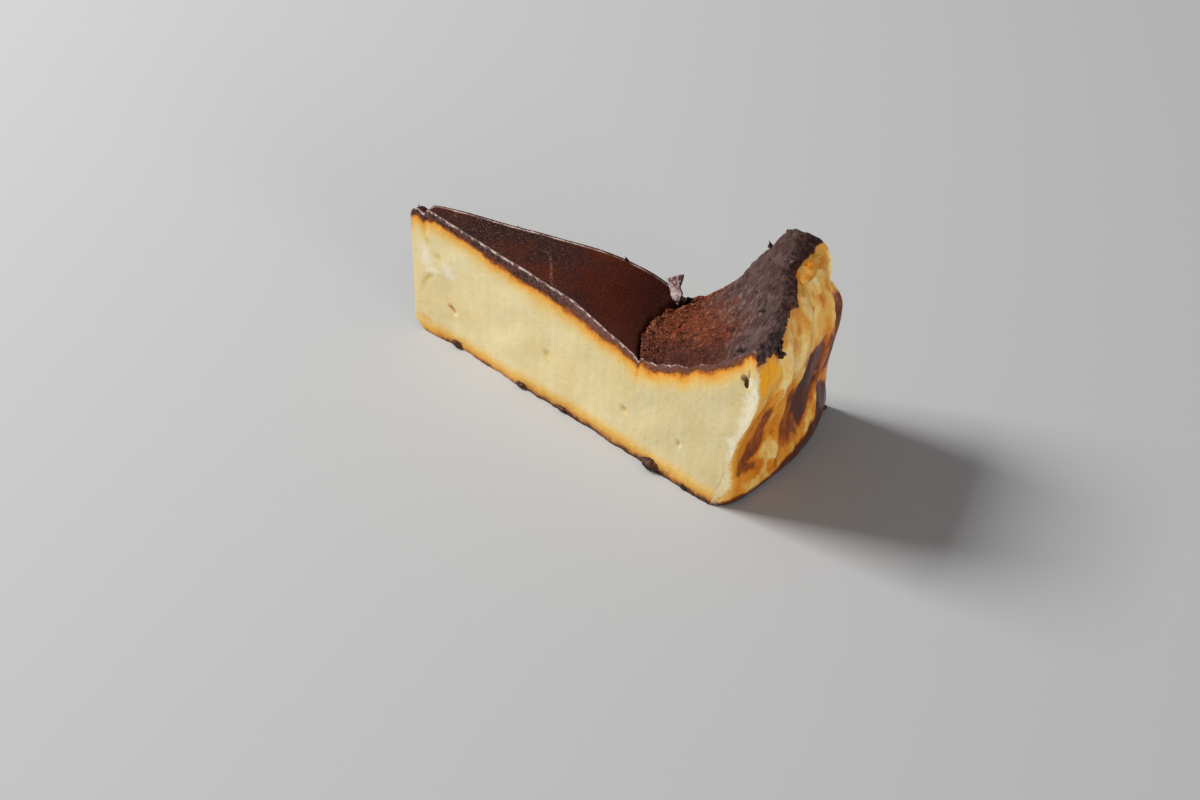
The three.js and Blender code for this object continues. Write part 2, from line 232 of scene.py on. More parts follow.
# Where the fine relief of the top lies: millimetres past the crack or from the crust's edge, or the part of
# the slope that is climbed.
CRUMBS_START = (0, 1.5)
CRUMBS_THIN_OUT = (0.3, 0.8)
CRUMBS_THINNED = 0.8
WRINKLES_START = (0.25, 0.6)
SKIN_WAVES_END = (-4, 0)
TORN_SEAM_PAST = 1.6
TORN_SEAM_WIDTH = 1.5
CHARRED_EDGE_INSET = 1.2
CHARRED_EDGE_WIDTH = 2.2
TORN_RIM_START = (0, 0.6)
TORN_RIM_SLOPE = (0.6, 3.0)

# How the wall baked, from 0, pale, to 1, and where its shades and its kinds of relief begin and are full.
WALL_SHADE = 0.28
BLOTCH_SHADE = 0.25
LOW_SHADE = 0.1
LOW_START = (18, 6)
LOW_CORNER = (-0.1, 0.15)
HIGH_PALENESS = 0.04
HIGH_START = (30, 40)
SPOT_RAG = 0.2
SPOT_EDGE = (0.25, 0.75)
CORE_RAG = (1.2, 0.5)
CORE_EDGE = (0.2, 2.4)
SIDE_EDGE = (-0.5, 0.4)
PRESSED_EDGE = (-0.4, 1.2)
FOOT_SHADE = 0.88
FOOT_RAG = 1.2
FOOT_EDGE = 2.4
FOLD_PALENESS = 0.14
FOLD_DARKEST = 0.7
CRUST_LIP = (0, 0.6)
WALL_WRINKLES_START = (1, 8)
TORN_WALL_START = (32, 40)
TORN_WALL_FAR = 0.9
TORN_WALL_FAR_START = (0.7, 0.95)
WORN_CORNER_WIDTH = 1.6

# Fine relief: how high, how long, or how long along each axis, then octaves and a seed.
RELIEF = {
    "crumbs": (0.5, 1.9, 3, 0),
    "small crumbs": (0.3, 0.95, 2, 1),
    "torn seam": (0.8, 1.5, 3, 2),
    "wrinkles": (0.28, (1.5, 4.5, 1.0), 3, 3),
    "waves": (0.3, 13.0, 1, 4),
    "grain": (0.04, 1.1, 2, 5),
    "charred edge": (1.0, 2.3, 3, 6),
    "torn rim": (0.3, 3.6, 2, 7),
    "hanging crust": (0.6, 1.8, 2, 1),
    "wall wrinkles": (0.22, (2.2, 1.0, 11.0), 2, 2),
    "torn wall": (0.6, (3.0, 1.0, 5.0), 3, 3),
    "worn corner": (0.6, (1.8, 1.0, 3.0), 2, 4),
    "blotches": (1.0, (5.0, 1.0, 9.0), 3, 5),
    "patch edges": (0.9, (2.0, 1.0, 3.6), 3, 6),
    "streaks": (1.0, (1.3, 1.0, 9.0), 3, 7),
    "knife marks": (0.05, (2.2, 1.0, 14.0), 2, 1),
    "cut grain": (0.04, 1.6, 2, 2),
    "base skirt": (1.4, 4.0, 3, 9),
    "torn strip": (1.2, 5.0, 3, 10),
}

# Steps of the block: twice the first number along the wedge, then across it and up it.
STEPS_TO_SEAM = 140
STEPS_ACROSS = 100
STEPS_UP = 88
POINT_PART = 0.05
SEAM_CROWDING = 1.2
SLOPE_CROWDING = 1.1
EDGE_CROWDING = 0.5
TINY = 1e-6


def between(pair, share):
    return pair[0] + (pair[1] - pair[0]) * share


def smoothstep(value, low, high):
    part = np.clip((value - low) / (high - low), 0, 1)
    return part * part * (3 - 2 * part)


def bump(distance, width):
    return np.exp(-((distance / width) ** 2))


def spot(a, b, middle_a, middle_b, half_a, half_b):
    """1 in the middle of a soft round spot and 0 away from it."""
    return bump(a - middle_a, half_a) * bump(b - middle_b, half_b)


def unevenness(a, b, wavelength):
    p = 2 * np.pi * a / wavelength
    q = 2 * np.pi * b / wavelength
    slow = np.sin(p + 1.7 * np.sin(0.6 * q))
    return 0.5 * slow + 0.5 * np.sin(1.3 * q + 1.9 * np.sin(0.7 * p) + 2.1)


def lumps(places, size, octaves=2, seed=0):
    """Lumps of one size in millimetres, or one for each axis, from about -1 to 1."""
    scaled = np.asarray(places) / size + 17.3 * seed
    return np.array([noise.fractal(Vector(place), 1.0, 2.0, octaves) for place in scaled])


def at(x, y, z):
    return np.stack(np.broadcast_arrays(x, y, z), -1)


def relief(name, places):
    height, size, octaves, seed = RELIEF[name]
    return height * lumps(places, size, octaves, seed)


def ragged(share, size, seed):
    """Raggedness along a line that crosses the wedge, from about -1 to 1."""
    shares, back = np.unique(share, return_inverse=True)
    places = at(WIDTH_AT_RIM * shares, 0, 0)
    return lumps(places, size, 3, seed)[back]


def heading(share):
    return np.exp(1j * HALF_ANGLE * (2 * share - 1))


def in_plan(reach, share):
    return FAR_START * share + reach * heading(share)


def in_box(plan, z):
    """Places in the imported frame, in millimetres, of points in plan from the cake's middle."""
    moved = plan + WEDGE_TO_BOX
    return at(moved.real, moved.imag, z)


def reach_of_radius(share, radius):
    start = FAR_START * share
    along = (start * np.conj(heading(share))).real
    return -along + np.sqrt(along**2 + radius**2 - abs(start) ** 2)


def crease_at(share, z):
    up = np.clip(z / CREST_HEIGHT[0], 0, 1)
    pressed = 0
    for middle, depth, width, slant in CREASES:
        pressed = pressed + depth * bump(share - middle - slant * (up - 0.5), width)
    fade = 1 - CREASE_FADE * smoothstep(up, CREASE_FADE_FROM, 1)
    return pressed * smoothstep(up, 0, CREASE_START) * fade


def wall_radius(share, z):
    top = between(BULGE_HEIGHT, share)
    bulge = BULGE[1] + (BULGE[0] - BULGE[1]) * (1 - share) ** BULGE_FADE
    rise = bulge * smoothstep(z, between(BULGE_FOOT, share), top)
    shoulder = between(SHOULDER_CURVE, share) * np.maximum(0, z - top) ** 2
    flare = FOOT_FLARE * bump(share - FOOT_FLARE_SHARE, FOOT_FLARE_WIDTH)
    flare = flare * (1 - smoothstep(z, 0, FOOT_FLARE_HEIGHT))
    foot = BASE_EDGE_ROUNDING * np.exp(-z / BASE_EDGE_ROUNDING)
    worn = CORNER_WEAR * np.exp(-share / CORNER_WEAR_SHARE) * (1 - smoothstep(z, 0, CORNER_WEAR_HEIGHT))
    dent = DENT_DEPTH * spot(share, z, *DENT_SPOT)
    sunk = shoulder + foot + worn + dent + crease_at(share, z)
    return between(BASE_RADIUS, share) + rise + flare - sunk


def rim_height(share):
    return between(CREST_HEIGHT, share) - CREST_ROUNDING * between(CREST_INSET, share) ** 2


def rim_reach(share):
    return reach_of_radius(share, wall_radius(share, rim_height(share)))


def seam_reach(share):
    near = SEAM_BEND[0] * np.maximum(0, 1 - share / SEAM_TURN_SHARE) ** 2
    far = SEAM_BEND[1] * np.maximum(0, (share - SEAM_TURN_SHARE) / (1 - SEAM_TURN_SHARE)) ** 2
    return (SEAM_X + near + far - (FAR_START * share).real) / heading(share).real


def crack_reach(share):
    """Where the skin tore: along the seam, to one side of it and then the other."""
    return seam_reach(share) + SEAM_WANDER * ragged(share, SEAM_WANDER_SIZE, 8)


def skin_height(reach, share):
    rolled = np.clip(1 + (reach - seam_reach(share)) / between(SKIN_ROLL_OFF_LENGTH, share), 0, 1)
    roll_off = between(SKIN_ROLL_OFF, share) * rolled ** between(SKIN_ROLL_OFF_POWER, share)
    corner = POINT_CORNER_DROP * np.exp(-reach / POINT_CORNER_LENGTH)
    notch_width = np.where(reach < POINT_NOTCH_REACH, *POINT_NOTCH_WIDTHS)
    notch = POINT_NOTCH_DEPTH * bump(reach - POINT_NOTCH_REACH, notch_width)
    flat = between(POINT_HEIGHT, share) - between(SKIN_FALL_PER_MM, share) * reach
    return flat - roll_off - corner - notch


def climbed(reach, share):
    seam = seam_reach(share)
    crest = rim_reach(share) - between(CREST_INSET, share)
    return np.clip((reach - seam) / (crest - seam), 0, 1)


def slope_height(reach, share):
    seam = seam_reach(share)
    climb = climbed(reach, share)
    eased = smoothstep(climb**FAR_CLIMB_POWER, 0, 1)
    steady = climb**NEAR_CLIMB_POWER
    rise = steady + (eased - steady) * smoothstep(share, 0, FAR_CLIMB_SHARE)
    past_crest = np.maximum(0, reach - rim_reach(share) + between(CREST_INSET, share))
    crags = CRAG_HEIGHT * unevenness(reach, WIDTH_AT_RIM * share, CRAG_LENGTH)
    valley = np.minimum(between(VALLEY_HEIGHT, share), skin_height(seam, share))
    base = valley + (between(CREST_HEIGHT, share) - valley) * rise
    return base - CREST_ROUNDING * past_crest**2 + crags * smoothstep(climb, *CRAG_START)


def crack_at(reach, share):
    """1 in the middle of the torn seam and 0 away from it. It gapes towards the far cut."""
    gape = smoothstep(share, *SEAM_GAPE)
    width = between(SEAM_WIDTH, gape)
    return bump(reach - crack_reach(share) - width + SEAM_WIDTH[0], width)


def width_at(reach, share):
    return between((WIDTH_AT_POINT, WIDTH_AT_RIM), reach / rim_reach(share))


def top_height(reach, share):
    past_crack = reach - crack_reach(share)
    width = width_at(reach, share)
    lip = np.exp(-share * width / CUT_EDGE_LIP_WIDTH) + np.exp((share - 1) * width / CUT_EDGE_LIP_WIDTH)
    gape = smoothstep(share, *SEAM_GAPE) * smoothstep(share, 1, SEAM_GAPE[1])
    crack = between(SEAM_DEPTH, gape) * crack_at(reach, share)
    beyond = np.maximum(0, past_crack)
    edge = (1 - np.exp(-beyond / SEAM_LIP_RISE)) * np.exp(-beyond / SEAM_LIP_FALL)
    height = np.where(past_crack < 0, skin_height(reach, share), slope_height(reach, share))
    lip = lip * smoothstep(reach, *CUT_EDGE_LIP_START)
    return height + CUT_EDGE_LIP * lip - crack + between(SEAM_LIP, share) * edge


def crust_past_rim(share):
    """How far past the rim the ragged edge of the black crust reaches."""
    flap = FLAP_LENGTH * bump(share - FLAP_SHARE, FLAP_WIDTH)
    rag = CRUST_RAG * ragged(share, CRUST_RAG_SIZE, 0)
    return np.interp(share, *CRUST_EDGE) + flap + rag


def ridge_pits(reach, share):
    """How surely a point lies in a pit of the ridge, and how deep it lies there."""
    in_pit = 0 * reach
    sunk = 0 * reach
    for middle, across, radius, depth in RIDGE_PITS:
        along = bump(reach - middle, 1.5 * radius)
        here = along * bump((share - across) * WIDTH_AT_RIM, 0.8 * radius)
        in_pit = np.maximum(in_pit, here)
        sunk = sunk + depth * here
    return in_pit, sunk


def top_relief(reach, share):
    """Crumbs, wrinkles and pits that stand out of the top or sink into it."""
    plan = in_plan(reach, share)
    places = at(plan.real, plan.imag, 0)
    past_crack = reach - crack_reach(share)
    climb = climbed(reach, share)
    thinned = CRUMBS_THINNED * smoothstep(climb, *CRUMBS_THIN_OUT)
    rough = smoothstep(past_crack, *CRUMBS_START) * (1 - thinned)
    crumbs = np.abs(relief("crumbs", places)) + relief("small crumbs", places)
    torn_edge = relief("torn seam", places) * bump(past_crack - TORN_SEAM_PAST, TORN_SEAM_WIDTH)
    wrinkles = relief("wrinkles", places) * smoothstep(climb, *WRINKLES_START)
    waves = relief("waves", places) * (1 - smoothstep(past_crack, *SKIN_WAVES_END))
    grain = relief("grain", places)
    to_edge = crust_past_rim(share) - reach + rim_reach(share)
    charred = between(CHARRED_EDGE, share) * relief("charred edge", places)
    charred = charred * bump(to_edge - CHARRED_EDGE_INSET, CHARRED_EDGE_WIDTH)
    torn = between(TORN_RIM_DEPTHS, smoothstep(-to_edge, *TORN_RIM_SLOPE)) + relief("torn rim", places)
    torn = torn * smoothstep(-to_edge, *TORN_RIM_START)
    pits = ridge_pits(reach, share)[1]
    return rough * crumbs + torn_edge + wrinkles + waves + grain + charred - torn - pits


def wall_folds(share, z):
    """How surely a point of the wall lies on a fold, and how far the folds push it out."""
    on_fold = 0 * share
    pushed = 0 * share
    for heights, shares, width, stand in WALL_FOLDS:
        across = (share - np.interp(z, heights, shares)) * WIDTH_AT_RIM
        ends = smoothstep(z, heights[0] - FOLD_END, heights[0] + FOLD_END)
        ends = ends * smoothstep(z, heights[-1] + FOLD_END, heights[-1] - FOLD_END)
        here = bump(across, width) * ends
        on_fold = np.maximum(on_fold, here)
        pushed = pushed + stand * here
    return on_fold, pushed


def inside(share, z, heights, lefts, rights):
    """How far a point of the wall lies inside a patch, in millimetres."""
    left = np.interp(z, heights, lefts)
    right = np.interp(z, heights, rights)
    across = np.minimum(share - left, right - share) * WIDTH_AT_RIM
    return np.minimum(across, np.minimum(z - heights[0], heights[-1] - z))


def wall_browning(share, z):
    """How dark the wall baked, from 0, pale, to 1, and how far its patches are pressed in."""
    places = at(WIDTH_AT_RIM * share, 0 * share, z)
    blotches = relief("blotches", places)
    streaks = relief("streaks", places)
    ragged_edge = relief("patch edges", places)
    low = smoothstep(z, *LOW_START) * smoothstep(share, *LOW_CORNER)
    high = smoothstep(z, *HIGH_START)
    darkness = WALL_SHADE + BLOTCH_SHADE * blotches + LOW_SHADE * low - HIGH_PALENESS * high
    for *where, dark in WALL_SPOTS:
        ragged_spot = spot(share, z, *where) + SPOT_RAG * blotches
        darkness = np.maximum(darkness, dark * smoothstep(ragged_spot, *SPOT_EDGE))
    pressed = 0 * share
    for heights, lefts, rights, dark in PATCHES:
        deep = inside(share, z, heights, lefts, rights) + ragged_edge
        edge = min(PATCH_EDGE, dark)
        core = deep + CORE_RAG[0] * blotches + CORE_RAG[1] * streaks
        shade = edge + (dark - edge) * smoothstep(core, *CORE_EDGE)
        darkness = np.maximum(darkness, shade * smoothstep(deep, *SIDE_EDGE))
        pressed = np.maximum(pressed, dark * smoothstep(deep, *PRESSED_EDGE))
    foot = np.interp(share, *BROWN_FOOT) + FOOT_RAG * blotches
    darkness = np.maximum(darkness, FOOT_SHADE * smoothstep(z, foot + FOOT_EDGE, foot))
    on_fold, pushed = wall_folds(share, z)
    darkness = darkness - FOLD_PALENESS * on_fold * (darkness < FOLD_DARKEST)
    return darkness, PATCH_DEPTH * pressed - pushed


def wall_relief(share, z, pressed):
    """Torn custard under the rim, the worn corner and the crust that hangs over the wall."""
    places = at(WIDTH_AT_RIM * share, 0 * share, z)
    to_edge = crust_past_rim(share) - np.maximum(0, rim_height(share) - z)
    crust = CRUST_THICKNESS * smoothstep(to_edge, *CRUST_LIP) * (1 + relief("hanging crust", places))
    wrinkles = relief("wall wrinkles", places) * smoothstep(z, *WALL_WRINKLES_START)
    torn = relief("torn wall", places) * smoothstep(z, *TORN_WALL_START)
    torn = torn * (1 + TORN_WALL_FAR * smoothstep(share, *TORN_WALL_FAR_START))
    corner = np.abs(relief("worn corner", places)) * np.exp(-WIDTH_AT_RIM * share / WORN_CORNER_WIDTH)
    return crust + wrinkles + torn - corner - pressed


def scar_at(reach, z, past):
    """1 along the scar, so far past its radius, and 0 away from it."""
    from_middle = reach + 1j * z - SCAR_MIDDLE
    turn = np.angle(from_middle)
    return spot(abs(from_middle), turn, SCAR_RADIUS + past, SCAR_TURN, SCAR_WIDTH, SCAR_SPREAD)


def cut_relief(reach, z, near):
    """Hollows, a torn scar and faint knife marks in a cut. The hollows are in the near cut alone."""
    places = at(reach, 40.0 * near, z)
    marks = relief("knife marks", places) + relief("cut grain", places)
    sunk = 0
    for *where, depth in HOLLOWS:
        sunk = sunk + depth * spot(reach, z, *where)
    scar = SCAR_DEPTH * scar_at(reach, z, -SCAR_WIDTH)
    burr = SCAR_BURR * scar_at(reach, z, SCAR_WIDTH)
    return marks + near * (burr - sunk - scar)


def lean_at(reach):
    """How far the foot of the near cut stands out: in a little near the point, out towards the rim."""
    inwards = LEAN_IN * bump(reach - LEAN_IN_REACH, LEAN_IN_LENGTH)
    return LEAN_OUT * smoothstep(reach, *LEAN_OUT_START) - inwards


def crowd_ends(part):
    return part + EDGE_CROWDING * ((1 - np.cos(np.pi * part)) / 2 - part)


def divide_along(piece, axis, *steps):
    """Divides every edge of the block that runs along one axis, once for each number of steps."""
    for count in steps:
        edit = bmesh.from_edit_mesh(piece.data)
        for edge in edit.edges:
            run = edge.verts[1].co - edge.verts[0].co
            edge.select_set(abs(run[axis]) == max(abs(part) for part in run))
        bmesh.update_edit_mesh(piece.data)
        bpy.ops.mesh.subdivide(number_cuts=count - 1)


def merge_side(piece, axis, start):
    """Makes one face of the block's side at 0 along that axis, from a start along the block."""
    edit = bmesh.from_edit_mesh(piece.data)
    for face in edit.faces:
        flat = max(abs(corner.co[axis]) for corner in face.verts) < TINY
        face.select_set(flat and min(corner.co.x for corner in face.verts) >= start)
    bmesh.update_edit_mesh(piece.data)
    bpy.ops.mesh.dissolve_faces(use_verts=False)


bpy.ops.object.select_all(action="DESELECT")
bpy.ops.mesh.primitive_cube_add(size=1, location=(0.5, 0.5, 0.5))
slice_body = bpy.context.object
slice_body.name = "baked_slice"
bpy.ops.object.transform_apply(location=True, rotation=False, scale=False)
bpy.ops.object.mode_set(mode="EDIT")
bpy.ops.mesh.select_mode(type="EDGE")
divide_along(slice_body, 0, 4, STEPS_TO_SEAM // 2)
divide_along(slice_body, 1, STEPS_ACROSS)
divide_along(slice_body, 2, STEPS_UP)
bpy.ops.mesh.select_mode(type="FACE")
merge_side(slice_body, 0, 0)
merge_side(slice_body, 2, POINT_PART)
bpy.ops.object.mode_set(mode="OBJECT")

# Each side of the block becomes one finish: the cuts and the point, the top, the outer wall and the base.
CUT, TOP, WALL, BASE = range(4)
for face in slice_body.data.polygons:
    corners = [slice_body.data.vertices[index].co for index in face.vertices]
    if min(corner.z for corner in corners) > 1 - TINY:
        face.material_index = TOP
    elif min(corner.x for corner in corners) > 1 - TINY:
        face.material_index = WALL
    elif max(corner.z for corner in corners) < TINY:
        face.material_index = BASE

block = np.empty(3 * len(slice_body.data.vertices))
slice_body.data.vertices.foreach_get("co", block)
along, share, up = block.reshape(-1, 3).T
share = crowd_ends(share)
up = crowd_ends(up)
on_skin = along <= 0.5
skin_part = 1 - np.clip(1 - 2 * along, 0, 1) ** SEAM_CROWDING
slope_part = np.clip(2 * along - 1, 0, 1) ** SLOPE_CROWDING
crack = crack_reach(share)
rim = rim_reach(share)
top_reach = np.where(on_skin, crack * skin_part, crack + (rim - crack) * slope_part)
chip = POINT_CHIP * bump(top_reach, POINT_CHIP_LENGTH)
z = chip + up * (top_height(top_reach, share) + top_relief(top_reach, share) - chip)
browning, pressed = wall_browning(share, z)
wall = reach_of_radius(share, wall_radius(share, z) + wall_relief(share, z, pressed))
reach = np.where(on_skin, top_reach, crack + (wall - crack) * slope_part)

# The cuts wave a little, spread at the foot, and carry their own marks.
outwards = 2 * share - 1
waves = CUT_WAVE * unevenness(reach, z, CUT_WAVE_LENGTH) * smoothstep(reach, *CUT_WAVE_START)
skirt = BASE_SKIRT * (1 + relief("base skirt", at(reach, 30 * share, 0))) * np.exp(-z / BASE_SKIRT_HEIGHT)
marks = cut_relief(reach, z, share < 0.5)
sideways = outwards * abs(outwards) ** CUT_REACH_INWARDS * (waves + skirt + marks)
sideways = sideways - lean_at(reach) * (1 - up) * (1 - share) ** LEAN_REACH_INWARDS
lean = POINT_LEAN * (1 - up) * np.exp(-reach / POINT_LEAN_LENGTH)
plan = in_plan(reach - lean, share) + 1j * heading(share) * sideways
slice_body.data.vertices.foreach_set("co", (in_box(plan, z) * MM).ravel())

# What the finishes are painted by, at each point, in millimetres unless it is a share.
BAND = (
    (0.0, 8.0, 30.0, 58.0, 72.0, 79.0, 95.0, 103.0, 107.0, 112.0),
    (2.0, 2.3, 3.0, 4.0, 2.6, 1.9, 2.4, 3.3, 3.1, 1.8),
)
SCORCH_END = (42.0, 66.0)
BURNT_FOOT = ((0, 12, 36, 46, 60, 84, 112), (-0.6, -0.5, -0.3, 0.0, 0.25, 0.35, 0.2))
GREY_START = (
    (0.0, 0.35, 0.5, 0.62, 0.73, 0.85),
    (26.0, 26.5, 22.0, 17.0, 12.7, 9.5),
)
EDGE_LINE_START = 6.5
SCUFF = ((40.6, 45.9, 49.0), (0.59, 0.23, 0.06))
SCUFF_MIDDLE = 45
SCUFF_LENGTH = 4.5
SCUFF_WIDTH = 0.4
TORN_STRIP = 3.2
TORN_STRIP_WIDENS = (14, 32)
TORN_STRIP_TOP = (46.0, 38.0)
TORN_STRIP_FOOT = (8.0, 20.0)
TORN_CORNER = ((3.0, 5.0, 7.0, 10.4, 14.0, 22.0), (0.0, 0.8, 1.6, 1.0, 0.1, 0.2))
top_here = np.minimum(reach, rim)
below_top = top_height(top_here, share) + top_relief(top_here, share) - z
width_here = width_at(reach, share)
at_rim = np.where(up > 1 - TINY, reach - rim, np.maximum(0, rim_height(share) - z))

# Marks on the near cut: reach, height, half length, half height and strength.
TORN_MARKS = (
    (4.6, 26.0, 3.0, 4.6, 0.8),
    (7.0, 21.6, 2.6, 2.0, 0.65),
    (12.6, 23.4, 2.2, 2.4, 0.75),
    (114.4, 41.6, 1.0, 2.8, 0.7),
)
YELLOWED_MARKS = (
    (4.6, 34.4, 1.0, 2.6, 0.9),
    (5.3, 30.6, 0.9, 1.4, 0.9),
    (9.4, 26.5, 1.1, 1.0, 0.8),
    (48.2, 15.2, 1.2, 1.5, 0.6),
    (75.3, 12.4, 0.9, 0.9, 0.9),
)
SINGED_MARKS = (
    (12.9, 12.0, 0.7, 0.7, 1.0),
    (13.7, 11.2, 0.6, 0.9, 1.0),
    (11.4, 14.9, 0.4, 0.5, 0.75),
    (12.6, 13.4, 2.6, 2.2, 0.45),
    (3.0, 4.0, 3.2, 2.0, 0.66),
    (101.3, 30.5, 2.2, 0.8, 0.4),
    (93.8, 12.1, 0.6, 0.7, 0.6),
    (112.2, 41.3, 1.0, 0.9, 3.0),
    (112.8, 39.8, 0.6, 0.8, 3.0),
    (113.5, 43.4, 0.3, 1.3, 2.0),
)


def paint_on(mesh, guides):
    """Gives each point of a mesh its own values, which a finish reads by name."""
    for name, values in guides.items():
        values = np.asarray(values, dtype=np.float32)
        mesh.attributes.new(name, "FLOAT", "POINT").data.foreach_set("value", values)


def marked(marks):
    """How strongly a point of the near cut is marked."""
    strength = 0 * reach
    for *where, most in marks:
        strength = np.maximum(strength, most * spot(reach, z, *where))
    return strength * (share < 0.5)


# A painted shadow along the scar, laid on in the yellowed colour.
scar_shadow = scar_at(reach, z, -SCAR_WIDTH) * (share < 0.5)
strip = TORN_STRIP * (0.3 + 0.7 * smoothstep(z, *TORN_STRIP_WIDENS)) + relief("torn strip", at(0, 0, z))
strip = smoothstep(z, *TORN_STRIP_TOP) * smoothstep(wall - reach, strip + 2.0, strip - 1.6)
strip = strip * (0.35 + 0.65 * smoothstep(z, *TORN_STRIP_FOOT))
scuff = bump(share - np.interp(reach, *SCUFF), SCUFF_WIDTH / width_here)

paint_on(slice_body.data, {
    "torn": np.maximum(marked(TORN_MARKS), 0.65 * strip),
    "yellowed_and_scar_shadow": np.maximum(marked(YELLOWED_MARKS), 0.9 * scar_shadow),
    "singed": marked(SINGED_MARKS),
    "above_base": z - np.interp(reach, *BURNT_FOOT),
    "below_top": below_top,
    "below_band": below_top - np.interp(reach, *BAND),
    "scorch": smoothstep(reach, *SCORCH_END[::-1]),
    "past_crack": reach - crack,
    "in_crack": crack_at(top_here, share),
    "in_pit": ridge_pits(top_here, share)[0],
    "past_grey": reach - crack - np.interp(share, *GREY_START),
    "from_torn": share * width_here - np.interp(z, *TORN_CORNER),
    "from_near": share * width_here,
    "from_far": np.where(reach < EDGE_LINE_START, 0, (1 - share) * width_here),
    "scuffed": scuff * bump(reach - SCUFF_MIDDLE, SCUFF_LENGTH),
    "crust_edge": crust_past_rim(share) - at_rim,
    "browning": browning,
    "above_foot": z - np.interp(share, *BROWN_FOOT),
    "yolk": spot(share, z, *YOLK_SPOT),
})

bpy.ops.object.shade_smooth_by_angle(angle=math.radians(55))
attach(slice_body, "root")
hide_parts("cheesecake_slice")

# The two cuts and the blunt point show the custard: pale, moist and close, with faint marks of the knife.
# It turns orange and then brown under the crust, and gold to brown towards the base.
# The helpers of the finishes add nodes to the tree in hand, and read its place on the piece.


def colour(red, green, blue):
    """A colour given as on a screen, from 0 to 255."""
    parts = [part / 255 for part in (red, green, blue)]
    linear = [part / 12.92 if part < 0.04 else ((part + 0.055) / 1.055) ** 2.4 for part in parts]
    return (*linear, 1.0)


def add_node(kind, inputs=None, **settings):
    node = tree.nodes.new("ShaderNode" + kind)
    for name, value in settings.items():
        setattr(node, name, value)
    for name, value in (inputs or {}).items():
        if isinstance(value, bpy.types.NodeSocket):
            tree.links.new(value, node.inputs[name])
        else:
            node.inputs[name].default_value = value
    return node


def cloud(size, detail, stretch=(1, 1, 1)):
    """Cloudy values from 0 to 1 with patches of one size in millimetres, drawn out along each axis."""
    scale = [1 / (size * MM * part) for part in stretch]
    mapped = add_node("Mapping", {"Vector": place, "Scale": scale})
    inputs = {"Vector": mapped.outputs["Vector"], "Scale": 1.0, "Detail": detail}
    return add_node("TexNoise", inputs).outputs["Fac"]


def cells(size):
    """Cells of about one size in millimetres."""
    return add_node("TexVoronoi", {"Vector": place, "Scale": 1 / (size * MM)}).outputs


def fade(value, low, high, start=0.0, end=1.0):
    inputs = {"Value": value, "From Min": low, "From Max": high, "To Min": start, "To Max": end}
    return add_node("MapRange", inputs, interpolation_type="SMOOTHSTEP").outputs["Result"]


def specks(size, radius):
    """Small dots, about one to each cell: 1 in a dot and 0 outside it."""
    return fade(cells(size)["Distance"], radius, 0.4 * radius)


def calc(operation, first, second):
    return add_node("Math", {0: first, 1: second}, operation=operation).outputs["Value"]


def times(first, second):
    return calc("MULTIPLY", first, second)


def plus(first, second):
    return calc("ADD", first, second)


def shifted(value, *shifts):
    """A value moved up and down by clouds, each by its own amount at most."""
    for cloudy, amount in shifts:
        value = plus(value, fade(cloudy, 0.2, 0.8, -amount, amount))
    return value


def layer(factor, below, above, blend="MIX"):
    inputs = {0: factor, 6: below, 7: above}
    return add_node("Mix", inputs, data_type="RGBA", blend_type=blend).outputs[2]


def coats(paint, *layers):
    """Colours laid over a paint one after another, each by its own factor."""
    for factor, above in layers:
        paint = layer(factor, paint, above)
    return paint


def ramp(value, stops):
    """A colour for each value, run together between stops given from the lowest value to the highest."""
    first = stops[0][0]
    last = stops[-1][0]
    part = add_node("MapRange", {"Value": value, "From Min": first, "From Max": last})
    node = add_node("ValToRGB", {"Fac": part.outputs["Result"]})
    elements = node.color_ramp.elements
    while len(elements) < len(stops):
        elements.new(0.5)
    for element, (position, paint) in zip(elements, stops):
        element.position = (position - first) / (last - first)
        element.color = paint
    return node.outputs["Color"]


def painted(name):
    return add_node("Attribute", attribute_name=name).outputs["Fac"]


def new_finish(piece, name, roughness, specular):
    """Gives a piece a new material, and returns its nodes and the place on the piece that they read."""
    material = bpy.data.materials.new(name)
    piece.data.materials.append(material)
    material.use_nodes = True
    nodes = material.node_tree.nodes
    shader = nodes["Principled BSDF"]
    shader.inputs["Roughness"].default_value = roughness
    shader.inputs["Specular IOR Level"].default_value = specular
    return material.node_tree, nodes.new("ShaderNodeTexCoord").outputs["Object"]


def set_finish(paint, height, depth, roughness=None):
    """Joins colour, fine relief of a depth in millimetres and, where it varies, roughness to the shader."""
    shader = tree.nodes["Principled BSDF"]
    bumps = add_node("Bump", {"Height": height, "Distance": depth * MM, "Strength": 1.0})
    tree.links.new(bumps.outputs["Normal"], shader.inputs["Normal"])
    tree.links.new(paint, shader.inputs["Base Color"])
    if roughness is not None:
        tree.links.new(roughness, shader.inputs["Roughness"])


CUSTARD_DEEP = colour(235, 211, 149)
CUSTARD_PALE = colour(243, 228, 180)
CUSTARD_TORN = colour(247, 236, 208)
CUSTARD_YELLOWED_AND_SHADOW = colour(208, 176, 72)
CUSTARD_PAINTED_SHADE = colour(238, 238, 238)
SINGED_ORANGE = colour(238, 166, 60)
SINGED_DARK = colour(58, 24, 10)
SCORCHED = colour(118, 50, 15)
PALE_RIM_AND_HIGHLIGHT = colour(228, 198, 186)
BAND_PITTED = colour(44, 24, 20)
BAND_DARK = colour(76, 46, 40)

# Colours down through the crust's cut edge into the custard, by millimetres below the crust.
BAND_STOPS = (
    (-3.0, colour(120, 82, 76)),
    (-1.2, colour(122, 78, 66)),
    (-0.3, colour(138, 78, 42)),
    (0.5, colour(206, 120, 32)),
    (1.2, colour(242, 162, 48)),
    (2.4, colour(242, 188, 90)),
    (4.5, colour(240, 204, 124)),
    (8.0, colour(238, 212, 148)),
)

